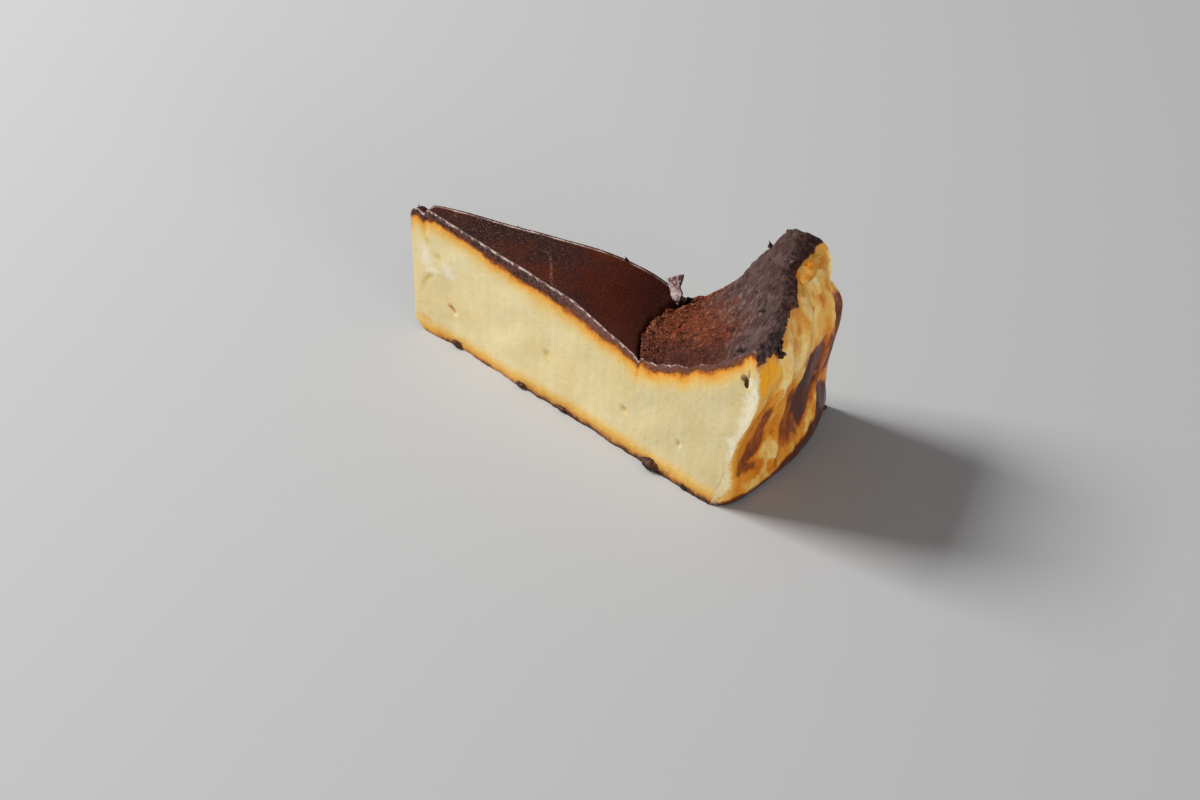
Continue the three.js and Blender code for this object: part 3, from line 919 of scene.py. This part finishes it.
# Colours up from the base, by millimetres above it.
BASE_STOPS = (
    (0.0, colour(66, 40, 26)),
    (0.45, colour(104, 64, 34)),
    (0.9, colour(176, 116, 50)),
    (1.8, colour(222, 164, 74)),
    (3.4, colour(238, 194, 104)),
    (6.0, colour(238, 208, 144)),
)

tree, place = new_finish(slice_body, "cut_custard", 0.5, 0.25)
crumb = cloud(0.9, 4)
drag = cloud(1.5, 2, (1, 1, 16))
rag = cloud(1.3, 4)
broad_rag = cloud(6, 2)
torn = shifted(painted("torn"), (broad_rag, 0.2), (rag, 0.2))
singed = shifted(painted("singed"), (rag, 0.12))
paint = layer(fade(cloud(12, 2), 0.3, 0.7, 0.2, 0.8), CUSTARD_DEEP, CUSTARD_PALE)
paint = layer(fade(crumb, 0.6, 0.35, 0, 0.35), paint, CUSTARD_DEEP)
paint = layer(fade(drag, 0.62, 0.4, 0, 0.22), paint, CUSTARD_DEEP)
# Painted shade: the custard of the cut is darkened towards its outer end.
paint = layer(fade(painted("past_crack"), -25, 20), paint, CUSTARD_PAINTED_SHADE, "MULTIPLY")
paint = coats(
    paint,
    (times(specks(2.6, 0.1), 0.35), CUSTARD_YELLOWED_AND_SHADOW),
    # Yellowed marks, and the painted shadow along the scar.
    (times(painted("yellowed_and_scar_shadow"), 0.8), CUSTARD_YELLOWED_AND_SHADOW),
    (fade(torn, 0.15, 0.85, 0, 0.9), CUSTARD_TORN),
    (fade(singed, 0.2, 0.7, 0, 0.75), SINGED_ORANGE),
    (fade(singed, 0.62, 0.85), SINGED_DARK),
)

# Towards the base it turns gold and then brown. Under the top it turns orange, scorched towards the point,
# then brown and pitted where the crust is cut through. Along the top edge runs a pale broken line: the
# skin's pale torn rim, with a painted highlight where the edge catches the light.
above_base = shifted(painted("above_base"), (broad_rag, 0.4), (rag, 0.35))
below_band = shifted(painted("below_band"), (broad_rag, 0.8), (rag, 0.5))
scorch = painted("scorch")
scorched_line = times(fade(below_band, -1.3, -0.3), fade(below_band, 0.9, 0.2))
scorched = times(times(scorch, fade(rag, 0.3, 0.55, 0.35, 0.9)), scorched_line)
in_band = fade(below_band, 0.2, -0.5)
pitted = times(times(fade(crumb, 0.52, 0.42), fade(scorch, 0, 1, 0.35, 0.95)), in_band)
# The skin's pale rim along the top edge, with a painted highlight on it.
lip = fade(shifted(painted("below_top"), (rag, 0.4)), 0.8, 0.35)
paint = coats(
    paint,
    (fade(above_base, 6.5, 2.6), ramp(above_base, BASE_STOPS)),
    (fade(below_band, 8.0, 2.0), ramp(below_band, BAND_STOPS)),
    (scorched, SCORCHED),
    (times(in_band, fade(scorch, 0, 1, 0, 0.6)), BAND_DARK),
    (pitted, BAND_PITTED),
    (times(lip, fade(cloud(1.6, 4), 0.42, 0.58, 0.1, 0.95)), PALE_RIM_AND_HIGHLIGHT),
)
roughness = fade(below_band, 0.6, -0.4, 0.46, 0.7)
height = plus(plus(crumb, times(drag, 0.3)), times(times(crumb, in_band), 3.0))
set_finish(paint, height, 0.08, roughness)

# The burnt top: a dark satin skin with dusty specks as far as the seam, then red-brown broken crumb, and a
# wrinkled ridge, greyed by painted sheen, with a black edge. Past the edge the crust is torn off and the
# custard shows.
# Charred crust, which other pieces have too, is dark brown with a painted grey sheen over it, and black
# pits.
CHAR_SHEEN_GREY = colour(86, 64, 61)
CHAR_BROWN = colour(64, 41, 36)
CHAR_BLACK = colour(33, 20, 17)
CRUST_RED = colour(98, 48, 32)
SKIN_DARK = colour(44, 25, 23)
SKIN_RED = colour(72, 25, 9)
SKIN_GLOW = colour(84, 36, 17)
SKIN_SPECK = colour(92, 56, 44)
SKIN_DUST = colour(146, 106, 92)
# Dark for the skin's fine specks, and painted shade in the crack, in the ridge's pits and at the flake's
# foot.
DARK_SPECKS_AND_SHADE = colour(20, 9, 6)
GRAIN = 0.55
CRUMB_DARK = colour(46, 19, 11)
CRUMB_RED = colour(102, 44, 18)
CRUMB_PALE = colour(154, 92, 60)
WRINKLE_HIGHLIGHT = colour(126, 100, 92)
RIM_AMBER = colour(206, 124, 28)
RIM_GOLD = colour(228, 168, 78)

# Colours of the crust's broken edge: painted shade in its clefts, then brown, then painted grey sheen and
# highlights on its lumps.
EDGE_SHADING_STOPS = (
    (0.4, CHAR_BLACK),
    (0.52, CHAR_BROWN),
    (0.6, CHAR_SHEEN_GREY),
    (0.72, colour(122, 98, 98)),
)

charred_crust = bpy.data.node_groups.new("charred_crust", "ShaderNodeTree")
charred_crust.interface.new_socket("Place", in_out="INPUT", socket_type="NodeSocketVector")
tree = charred_crust
place = tree.nodes.new("NodeGroupInput").outputs["Place"]
fine = cloud(0.7, 5)
# Dark brown crust, patched with a painted grey sheen.
paint = layer(fade(cloud(6, 3), 0.35, 0.62), CHAR_BROWN, CHAR_SHEEN_GREY)
paint = layer(fade(fine, 0.45, 0.27, 0, 0.85), paint, CHAR_BLACK)
edge = ramp(cloud(1.5, 4), EDGE_SHADING_STOPS)
for name, kind in {"Color": "Color", "Height": "Float", "Edge": "Color"}.items():
    charred_crust.interface.new_socket(name, in_out="OUTPUT", socket_type="NodeSocket" + kind)
result = tree.nodes.new("NodeGroupOutput")
for name, value in {"Color": paint, "Height": fine, "Edge": edge}.items():
    tree.links.new(value, result.inputs[name])


def place_crust():
    return add_node("Group", {"Place": place}, node_tree=charred_crust).outputs


tree, place = new_finish(slice_body, "burnt_top", 0.5, 0.12)
crust = place_crust()
past_crack = painted("past_crack")
from_near = painted("from_near")
crust_edge = painted("crust_edge")
fine = cloud(0.45, 3)
mid = cloud(1.7, 4)
streaks = cloud(1.0, 4, (1, 3, 1))
broad = cloud(14, 3)

warmth = shifted(past_crack, (broad, 15))
grey = fade(warmth, -16, -56)
dusty = calc("MAXIMUM", specks(0.9, 0.28), specks(0.55, 0.24))
dusty = times(times(dusty, fade(grey, 0, 1, 0.1, 0.85)), fade(mid, 0.4, 0.58, 0.1, 1))
scuffed = times(painted("scuffed"), fade(fine, 0.4, 0.6))
skin = coats(
    layer(fade(warmth, -43, -12), SKIN_DARK, SKIN_RED),
    (fade(broad, 0.45, 0.62, 0, 0.45), SKIN_GLOW),
    (fade(fine, 0.5, 0.66, 0, 0.6), layer(grey, CRUMB_RED, SKIN_SPECK)),
    (fade(fine, 0.46, 0.34, 0, 0.6), DARK_SPECKS_AND_SHADE),
    (calc("MAXIMUM", dusty, scuffed), SKIN_DUST),
)

grain = cells(GRAIN)
tone = add_node("SeparateColor", {"Color": grain["Color"]}).outputs["Red"]
tone = shifted(tone, (mid, 0.35), (fine, 0.3))
rough = ramp(tone, ((0.0, CRUMB_DARK), (0.5, CRUMB_RED), (0.85, CRUMB_RED), (1.3, CRUMB_PALE)))
rough = coats(
    rough,
    (fade(past_crack, 5, 1, 0, 0.3), CRUMB_PALE),
    (fade(shifted(from_near, (mid, 3)), 16, 4, 0, 0.65), CRUMB_DARK),
)

past_grey = shifted(painted("past_grey"), (streaks, 4), (broad, 3))
wrinkled = fade(past_grey, 16, 3, 0.25, 1)
# On the wrinkles: painted shade in their hollows and painted highlight on their crests, following their
# bumps.
ridge = coats(
    crust["Color"],
    (times(wrinkled, fade(streaks, 0.46, 0.36, 0, 0.75)), CHAR_BLACK),
    (times(wrinkled, fade(streaks, 0.52, 0.68, 0, 0.7)), WRINKLE_HIGHLIGHT),
)

to_edge = shifted(crust_edge, (mid, 1.6))
from_far = shifted(painted("from_far"), (fine, 0.15))
# Pale broken lines along both cut edges: the skin's pale torn rim, with a painted highlight.
far_line = times(fade(from_far, 0.2, 0.45), fade(from_far, 0.85, 0.45))
near_line = fade(shifted(from_near, (fine, 0.15)), 0.4, 0.15)
broken = times(fade(cloud(4.5, 5), 0.32, 0.66, 0.1, 0.85), fade(past_crack, 0.5, -1.5))
paint = coats(
    skin,
    (fade(shifted(past_crack, (mid, 0.5)), 0.0, 0.6), rough),
    (fade(past_grey, -4, 6), ridge),
    # Painted shade in the crack of the seam and in the pits of the ridge.
    (fade(painted("in_crack"), 0.45, 0.95), DARK_SPECKS_AND_SHADE),
    (fade(painted("in_pit"), 0.3, 0.8, 0, 0.9), DARK_SPECKS_AND_SHADE),
    (fade(to_edge, 5.0, 2.0, 0, 0.9), crust["Edge"]),
    (fade(to_edge, 3.2, 1.2, 0, 0.4), CHAR_BLACK),
    (fade(to_edge, 1.0, 0.2, 0, 0.4), CRUST_RED),
    (times(calc("MAXIMUM", near_line, far_line), broken), PALE_RIM_AND_HIGHLIGHT),
    (fade(crust_edge, 0.1, -0.3), layer(fade(cloud(3.4, 4), 0.36, 0.6), RIM_AMBER, RIM_GOLD)),
)
roughness = fade(past_crack, -1, 1, 0.42, 0.66)
height = calc("SUBTRACT", plus(fine, mid), grain["Distance"])
height = plus(height, times(streaks, times(wrinkled, fade(past_grey, -8, 2, 0, 1.4))))
height = times(height, fade(past_crack, -0.5, 1.5, 0.3, 1))
height = times(height, fade(crust_edge, -0.3, 0.1, 0.3, 1))
set_finish(paint, height, 0.2, roughness)

# The outer wall baked against folded paper: yellow custard with pale creases, and glossy patches that
# browned from amber to purple where the paper lay close. The crust hangs over its upper edge.
BROWNING_STOPS = (
    (0.0, colour(246, 220, 156)),
    (0.2, colour(237, 190, 100)),
    (0.38, colour(224, 152, 44)),
    (0.54, colour(212, 120, 14)),
    (0.68, colour(150, 74, 22)),
    (0.84, colour(98, 46, 26)),
    (1.0, colour(82, 56, 54)),
)
YOLK_YELLOW = colour(250, 172, 0)
HANGING_ORANGE = colour(212, 128, 34)
HANGING_RUST = colour(132, 62, 24)
FOOT_BROWN = colour(74, 36, 20)
CORNER_GLOW = colour(240, 172, 52)
CORNER_CREAM = colour(254, 236, 186)

tree, place = new_finish(slice_body, "browned_wall", 0.4, 0.4)
crust = place_crust()
fine = cloud(1.0, 4)
folds = cloud(2.6, 4, (1, 1, 3))
streaks = cloud(1.1, 3, (1, 1, 7))
brown = shifted(painted("browning"), (fine, 0.06), (folds, 0.1), (streaks, 0.05))
yolk = shifted(painted("yolk"), (folds, 0.2))
above_foot = shifted(painted("above_foot"), (folds, 0.6))
from_torn = shifted(painted("from_torn"), (fine, 0.6))
torn = calc("MINIMUM", from_torn, shifted(painted("from_far"), (fine, 0.6)))
hanging = shifted(painted("crust_edge"), (fine, 0.25))
on_crust = fade(hanging, -0.1, 0.3)
paint = coats(
    ramp(brown, BROWNING_STOPS),
    (times(fade(from_torn, 3.6, 0.8, 0, 0.75), fade(above_foot, 2, 8, 0.2, 1)), CORNER_GLOW),
    (fade(yolk, 0.2, 0.65), YOLK_YELLOW),
    (fade(torn, 1.3, -0.3, 0, 0.9), CORNER_CREAM),
    (fade(above_foot, 1.2, -0.6, 0, 0.85), FOOT_BROWN),
    (fade(hanging, -3.2, -0.5, 0, 0.8), HANGING_ORANGE),
    (fade(hanging, -0.8, 0.1, 0, 0.8), HANGING_RUST),
    (on_crust, layer(fade(hanging, 1.6, 0.2, 0, 0.6), crust["Edge"], CRUST_RED)),
)
roughness = calc("MAXIMUM", fade(brown, 0.4, 0.75, 0.46, 0.3), times(on_crust, 0.75))
height = plus(plus(fine, folds), times(crust["Height"], times(on_crust, 3)))
set_finish(paint, height, 0.2, roughness)

# The base baked flat on the paper: an even brown, darker in blotches.
# It is the same custard, dried hard, and the slice rests on it.
BASE_GOLD = colour(190, 138, 72)
BASE_BROWN = colour(104, 64, 38)
tree, place = new_finish(slice_body, "baked_base", 0.6, 0.3)
fine = cloud(0.8, 4)
paint = layer(fade(cloud(9, 4), 0.35, 0.65), BASE_BROWN, BASE_GOLD)
paint = layer(fade(fine, 0.55, 0.35, 0, 0.6), paint, CHAR_BROWN)
set_finish(paint, fine, 0.1)

# A torn flake of skin stands up at the far end of the seam, where the skin split and curled.
# It is a thin ragged plate, wider at its top, rooted in the crack and leaning back a little.
FLAKE_REACH = 71.8
FLAKE_SHARE = 0.9
FLAKE_ROOT_BELOW_SKIN = 0.95
FLAKE_ROOT_DEPTH = 0.7
FLAKE_THICKNESS = 0.5
FLAKE_TURN = math.radians(-14)
FLAKE_LEAN = math.radians(6)
FLAKE_LEFTS = ((-0.7, 1.1, 3.6, 4.6, 5.6), (-1.3, -1.4, -2.0, -2.9, -3.5))
FLAKE_RIGHTS = ((-0.7, 1.5, 3.5, 5.2, 7.2, 9.0), (1.3, 1.7, 2.4, 1.5, 1.8, 2.1))
FLAKE_TOPS = (5.7, 9.6)
FLAKE_STEPS = (14, 26)
FLAKE_CURL = 0.04
FLAKE_PALE_TOP = 4.2
RELIEF["flake edge"] = (0.3, 1.3, 3, 11)
RELIEF["flake folds"] = (0.2, 2.2, 2, 12)

bpy.ops.object.select_all(action="DESELECT")
bpy.ops.mesh.primitive_grid_add(x_subdivisions=FLAKE_STEPS[0], y_subdivisions=FLAKE_STEPS[1], size=1)
flake = bpy.context.object
flake.name = "torn_flake"
sheet = np.array([corner.co for corner in flake.data.vertices])
across = sheet[:, 0] + 0.5
upward = sheet[:, 1] + 0.5
rag = relief("flake edge", at(4 * across, 0, 9 * upward))
tall = -FLAKE_ROOT_DEPTH + (between(FLAKE_TOPS, across) + rag + FLAKE_ROOT_DEPTH) * upward
left = np.interp(tall, *FLAKE_LEFTS)
right = np.interp(tall, *FLAKE_RIGHTS)
wide = left + (right - left) * across + rag * (abs(2 * across - 1) > 0.9)
curled = FLAKE_CURL * wide**2 + relief("flake folds", at(wide, 0, tall))
bent = (wide + 1j * (tall * math.sin(FLAKE_LEAN) + curled)) * cmath.exp(1j * FLAKE_TURN)
root = skin_height(FLAKE_REACH, FLAKE_SHARE) - FLAKE_ROOT_BELOW_SKIN
flake_plan = in_plan(FLAKE_REACH, FLAKE_SHARE) + bent
flake_places = in_box(flake_plan, root + tall * math.cos(FLAKE_LEAN))
flake.data.vertices.foreach_set("co", (flake_places * MM).ravel())
from_side = np.minimum(np.minimum(wide - left, right - wide), (1 - upward) * FLAKE_TOPS[0])
paint_on(flake.data, {"tall": tall, "from_side": from_side})
bpy.ops.object.modifier_add(type="SOLIDIFY")
flake.modifiers["Solidify"].thickness = FLAKE_THICKNESS * MM
flake.modifiers["Solidify"].offset = 0
bpy.ops.object.modifier_apply(modifier="Solidify")
bpy.ops.object.modifier_add(type="SUBSURF")
bpy.ops.object.modifier_apply(modifier="Subdivision")
bpy.ops.object.shade_smooth()

FLAKE_DARK = colour(116, 80, 74)
FLAKE_PINK = colour(230, 204, 204)
tree, place = new_finish(flake, "torn_flake", 0.55, 0.3)
mottle = cloud(0.8, 3)
pale = shifted(painted("tall"), (mottle, 1.6))
paint = coats(
    layer(fade(mottle, 0.46, 0.62, 0, 0.8), FLAKE_DARK, FLAKE_PINK),
    # The lower part is pale pink: the skin's own colour, and painted light shining through the thin flake.
    (fade(pale, FLAKE_PALE_TOP + 1.0, FLAKE_PALE_TOP - 1.0, 0, 0.9), FLAKE_PINK),
    # Painted shade at the flake's foot, down in the crack.
    (fade(pale, 2.0, 0.7, 0, 0.95), DARK_SPECKS_AND_SHADE),
    (fade(painted("from_side"), 0.4, 0.05, 0, 0.7), CHAR_BROWN),
)
set_finish(paint, mottle, 0.3)
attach(flake, "root")

# Splinters of skin stand up along the cut edges where the knife dragged them.
# Each is a thin bent spike of the same burnt skin, rooted in the top.
SPLINTERS = (
    (58.2, 0.985, 1.6, 2.8),
    (95.2, 0.985, 1.2, 1.8),
    (2.4, 0.5, 0.9, 1.0),
    (22.0, 0.98, 0.6, 1.2),
    (29.0, 0.985, 0.6, 1.4),
)
SPLINTER_ROOT = 0.8
SPLINTER_SIDES = 7
SPLINTER_CUTS = 3
SPLINTER_FLATNESS = 0.6
SPLINTER_RAG = (0.2, 0.15)
SPLINTER_BEND = 0.1


def on_top(reach, share):
    """Places on the finished top, in millimetres."""
    reach, share = np.atleast_1d(reach, share)
    return in_box(in_plan(reach, share), top_height(reach, share) + top_relief(reach, share))


def select_only(*pieces):
    bpy.ops.object.select_all(action="DESELECT")
    for piece in pieces:
        piece.select_set(True)
    bpy.context.view_layer.objects.active = pieces[0]


spikes = []
for number, (spike_reach, spike_share, tall, wide) in enumerate(SPLINTERS):
    bpy.ops.object.select_all(action="DESELECT")
    bpy.ops.mesh.primitive_cone_add(vertices=SPLINTER_SIDES, radius1=0.5, depth=1, location=(0, 0, 0.5))
    bpy.ops.object.transform_apply(location=True, rotation=False, scale=False)
    bpy.ops.object.mode_set(mode="EDIT")
    bpy.ops.mesh.subdivide(number_cuts=SPLINTER_CUTS)
    bpy.ops.object.mode_set(mode="OBJECT")
    spike = bpy.context.object
    shape = np.array([corner.co for corner in spike.data.vertices])
    shape = shape * (wide, SPLINTER_FLATNESS * wide, tall + SPLINTER_ROOT)
    bend = SPLINTER_BEND * shape[:, 2] ** 2
    shape[:, 0] += SPLINTER_RAG[0] * wide * lumps(shape, 1.4, 2, number) - bend
    shape[:, 1] += SPLINTER_RAG[1] * wide * lumps(shape, 1.2, 2, number + 20)
    shape = shape + on_top(spike_reach, spike_share) - (0, 0, SPLINTER_ROOT)
    spike.data.vertices.foreach_set("co", (shape * MM).ravel())
    spikes.append(spike)
select_only(*spikes)
bpy.ops.object.join()
splinters = bpy.context.object
splinters.name = "skin_splinters"
bpy.ops.object.shade_smooth_by_angle(angle=math.radians(50))

tree, place = new_finish(splinters, "charred_bits", 0.6, 0.25)
set_finish(place_crust()["Edge"], cloud(0.8, 4), 0.25)
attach(splinters, "root")

# The black edge of the crust broke into charred chunks where the slice was lifted from the paper.
# They are hard lumps of burnt custard, one hanging over the wall as a flap, and they stay stuck to the rim.
CHUNK_COUNT = 14
CHUNK_SIZES = (0.3, 0.6)
CHUNK_SWELL = ((0, 0.1, 0.4, 1.0), (0.7, 1.15, 1.0, 0.75))
CHUNK_FLATNESS = (0.4, 0.8)
CHUNK_INSET = 0.5
CHUNK_END = 0.5
LUMP_WIDTHS = (0.6, 1.0)
FLAP_STAND_OUT = 0.5
FLAP_LUMPS = (
    (0.175, 45.6, 1.1),
    (0.185, 44.6, 0.9),
    (0.195, 43.7, 0.75),
    (0.2, 43.0, 0.5),
)


def lump_shape(subdivisions):
    """Corners and faces of a round lump of radius 1."""
    bpy.ops.object.select_all(action="DESELECT")
    bpy.ops.mesh.primitive_ico_sphere_add(subdivisions=subdivisions, radius=1)
    ball = bpy.context.object
    corners = np.array([corner.co for corner in ball.data.vertices])
    faces = np.array([face.vertices for face in ball.data.polygons])
    bpy.data.objects.remove(ball)
    return corners, faces


def joined_lumps(name, shape, middles, halves, turns, raggedness):
    """One piece of many lumps, no two alike, each with its middle, half sizes and turn."""
    corners, faces = shape
    all_corners = []
    for number, (middle, half, turn) in enumerate(zip(middles, halves, turns)):
        uneven = 1 + raggedness * lumps(corners, 0.7, 2, number)
        all_corners.append((corners * uneven[:, None] * half) @ np.array(turn.to_matrix()).T + middle)
    all_faces = [faces + number * len(corners) for number in range(len(all_corners))]
    mesh = bpy.data.meshes.new(name)
    mesh.from_pydata((np.concatenate(all_corners) * MM).tolist(), [], np.concatenate(all_faces).tolist())
    tones = np.repeat([draw.random() for _ in all_corners], len(corners))
    paint_on(mesh, {"tone": tones})
    piece = bpy.data.objects.new(name, mesh)
    bpy.context.collection.objects.link(piece)
    select_only(piece)
    bpy.ops.object.shade_smooth_by_angle(angle=math.radians(40))
    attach(piece, "root")
    return piece


def on_wall(share, z):
    """Places on the finished outer wall, in millimetres."""
    share, z = np.atleast_1d(share, z)
    pressed = wall_browning(share, z)[1]
    reach = reach_of_radius(share, wall_radius(share, z) + wall_relief(share, z, pressed))
    return in_box(in_plan(reach, share), z)


def uneven_halves(sizes, flatness):
    """Half sizes of lumps, each a little narrower than it is long, and flat."""
    return [size * np.array((1.0, draw.uniform(*LUMP_WIDTHS), draw.uniform(*flatness))) for size in sizes]


def any_turn():
    return Euler([draw.uniform(0, 2 * math.pi) for _ in range(3)])


draw = random.Random(7)
chunk_shares = np.array([(number + draw.random()) / CHUNK_COUNT for number in range(CHUNK_COUNT)])
chunk_shares = chunk_shares * CHUNK_END
past_rim = crust_past_rim(chunk_shares) - CHUNK_INSET
on_rim = on_top(rim_reach(chunk_shares) + np.minimum(0, past_rim), chunk_shares)
down_wall = on_wall(chunk_shares, rim_height(chunk_shares) - np.maximum(0, past_rim))
chunk_middles = np.where((past_rim > 0)[:, None], down_wall, on_rim)
chunk_sizes = np.array([draw.uniform(*CHUNK_SIZES) for _ in chunk_shares])
chunk_sizes = chunk_sizes * np.interp(chunk_shares, *CHUNK_SWELL)
flap_shares, flap_heights, flap_sizes = np.array(FLAP_LUMPS).T
flap = on_wall(flap_shares, flap_heights) + (FLAP_STAND_OUT, 0, 0)
chunk_middles = np.concatenate([chunk_middles, flap])
chunk_sizes = np.concatenate([chunk_sizes, flap_sizes])
chunk_halves = uneven_halves(chunk_sizes, CHUNK_FLATNESS)
chunk_turns = [any_turn() for _ in chunk_sizes]
chunks = joined_lumps("charred_chunks", lump_shape(3), chunk_middles, chunk_halves, chunk_turns, 0.4)
chunks.data.materials.append(bpy.data.materials["charred_bits"])

# Drops of batter ran under the paper and burnt on to the base edge as flattened beads.
# Each sits half in the foot of the near cut, level with the base. Places are along the cut.
BEADS = (
    (14.4, 1.8, 0.95),
    (39.0, 1.7, 0.85),
    (53.7, 1.5, 0.75),
    (85.3, 2.6, 1.45),
    (96.5, 1.1, 0.6),
)
BEAD_STAND_OUT = 0.3
BEAD_FAR_EDGE = (0.96, 1.0, 0.7)
bead_middles = []
for bead_reach, length, tall in BEADS:
    stand_out = BEAD_STAND_OUT * tall + lean_at(bead_reach)
    bead_plan = (bead_reach - 1j * stand_out) * heading(0.0) + WEDGE_TO_BOX
    bead_middles.append((bead_plan.real, bead_plan.imag, tall))
bead_halves = [(length, tall, 0.9 * tall) for _, length, tall in BEADS]
bead_turns = [Euler((0, 0, -HALF_ANGLE)) for _ in BEADS]
bead_middles.append(on_wall(*BEAD_FAR_EDGE[:2])[0])
bead_halves.append([BEAD_FAR_EDGE[2]] * 3)
bead_turns.append(Euler((0, 0, 0)))
beads = joined_lumps("burnt_beads", lump_shape(4), bead_middles, bead_halves, bead_turns, 0.3)

BEAD_BROWN = colour(96, 58, 34)
tree, place = new_finish(beads, "burnt_batter", 0.65, 0.2)
fine = cloud(0.7, 4)
paint = layer(fade(fine, 0.4, 0.62), CHAR_BLACK, BEAD_BROWN)
set_finish(paint, fine, 0.2)

# Crumbs of broken crust lie thick along the seam and thin out up the slope.
# They are small hard lumps of the same burnt custard, loose or just held by the crumb under them.
CRUMB_COUNT = 400
CRUMB_SIZES = (0.14, 0.45)
CRUMB_FLATNESS = (0.5, 0.9)
CRUMB_RAISED = 0.25
CRUMB_START = 0.4
CRUMB_END = 9
CRUMB_SPREAD = 2.2
CRUMB_GAPE = (0.75, 3.5)
CRUMB_SHARES = (0.03, 0.92)
crumb_shares = np.array([draw.uniform(*CRUMB_SHARES) for _ in range(CRUMB_COUNT)])
crumb_past = np.array([CRUMB_START + draw.expovariate(1 / CRUMB_SPREAD) for _ in range(CRUMB_COUNT)])
crumb_past = np.minimum(crumb_past, CRUMB_END) + CRUMB_GAPE[1] * (crumb_shares > CRUMB_GAPE[0])
crumb_sizes = np.array([draw.triangular(*CRUMB_SIZES, CRUMB_SIZES[0]) for _ in range(CRUMB_COUNT)])
crumb_middles = on_top(crack_reach(crumb_shares) + crumb_past, crumb_shares)
crumb_middles[:, 2] += CRUMB_RAISED * crumb_sizes
crumb_halves = uneven_halves(crumb_sizes, CRUMB_FLATNESS)
crumb_turns = [any_turn() for _ in crumb_sizes]
crumbs = joined_lumps("crust_crumbs", lump_shape(1), crumb_middles, crumb_halves, crumb_turns, 0.5)

tree, place = new_finish(crumbs, "crust_crumbs", 0.65, 0.25)
fine = cloud(0.5, 3)
tone = shifted(painted("tone"), (fine, 0.25))
paint = ramp(tone, ((-0.4, CRUMB_DARK), (0.1, CRUMB_RED), (0.5, CRUMB_RED), (0.95, CRUMB_PALE)))
set_finish(paint, fine, 0.15)

# The floor is a plain pale sheet, with soft daylight from the left and a low reflector to the right.
# They show the slice and are no part of it.
FLOOR_SIZE = 6.0
FLOOR_GREY = colour(176, 176, 176)
SKY = (0.97, 0.98, 1.0, 1.0)
SKY_STRENGTH = 0.22
LIGHT_DISTANCE = 1.6
LIGHT_SIZE = 0.6
bpy.ops.object.select_all(action="DESELECT")
bpy.ops.mesh.primitive_plane_add(size=FLOOR_SIZE, location=(0, 0, 0))
floor = bpy.context.object
floor.name = "pale_floor"
tree, place = new_finish(floor, "pale_floor", 0.8, 0.2)
tree.nodes["Principled BSDF"].inputs["Base Color"].default_value = FLOOR_GREY

world = bpy.data.worlds.new("studio")
world.use_nodes = True
world.node_tree.nodes["Background"].inputs["Color"].default_value = SKY
world.node_tree.nodes["Background"].inputs["Strength"].default_value = SKY_STRENGTH
bpy.context.scene.world = world


def add_light(name, direction, elevation, power):
    """A square soft light that looks at the slice from a direction in plan, given as a vector."""
    run = Vector((*direction, 0)).normalized() * math.cos(math.radians(elevation))
    stand = (run + Vector((0, 0, math.sin(math.radians(elevation))))) * LIGHT_DISTANCE
    bpy.ops.object.light_add(type="AREA", location=stand)
    light = bpy.context.object
    light.name = name
    light.data.size = LIGHT_SIZE
    light.data.energy = power
    light.rotation_euler = (-stand).to_track_quat("-Z", "Y").to_euler()


add_light("key", direction=(-0.99, -0.14), elevation=40, power=37)
add_light("reflector", direction=(0.9, -0.42), elevation=11, power=9.8)
bpy.context.scene.view_settings.view_transform = "Standard"

# The camera stands where the picture was taken from, at 66 mm on a 36 mm wide frame.
CAMERA_PLACE = Vector((225.9, -386.3, 352.8)) * MM
CAMERA_AIM = Vector((-0.3965, 0.6758, -0.6214))
bpy.ops.object.camera_add(location=CAMERA_PLACE)
camera = bpy.context.object
camera.rotation_euler = CAMERA_AIM.to_track_quat("-Z", "Y").to_euler()
camera.data.lens = 66
camera.data.sensor_width = 36
camera.data.clip_start = 0.01
bpy.context.scene.camera = camera
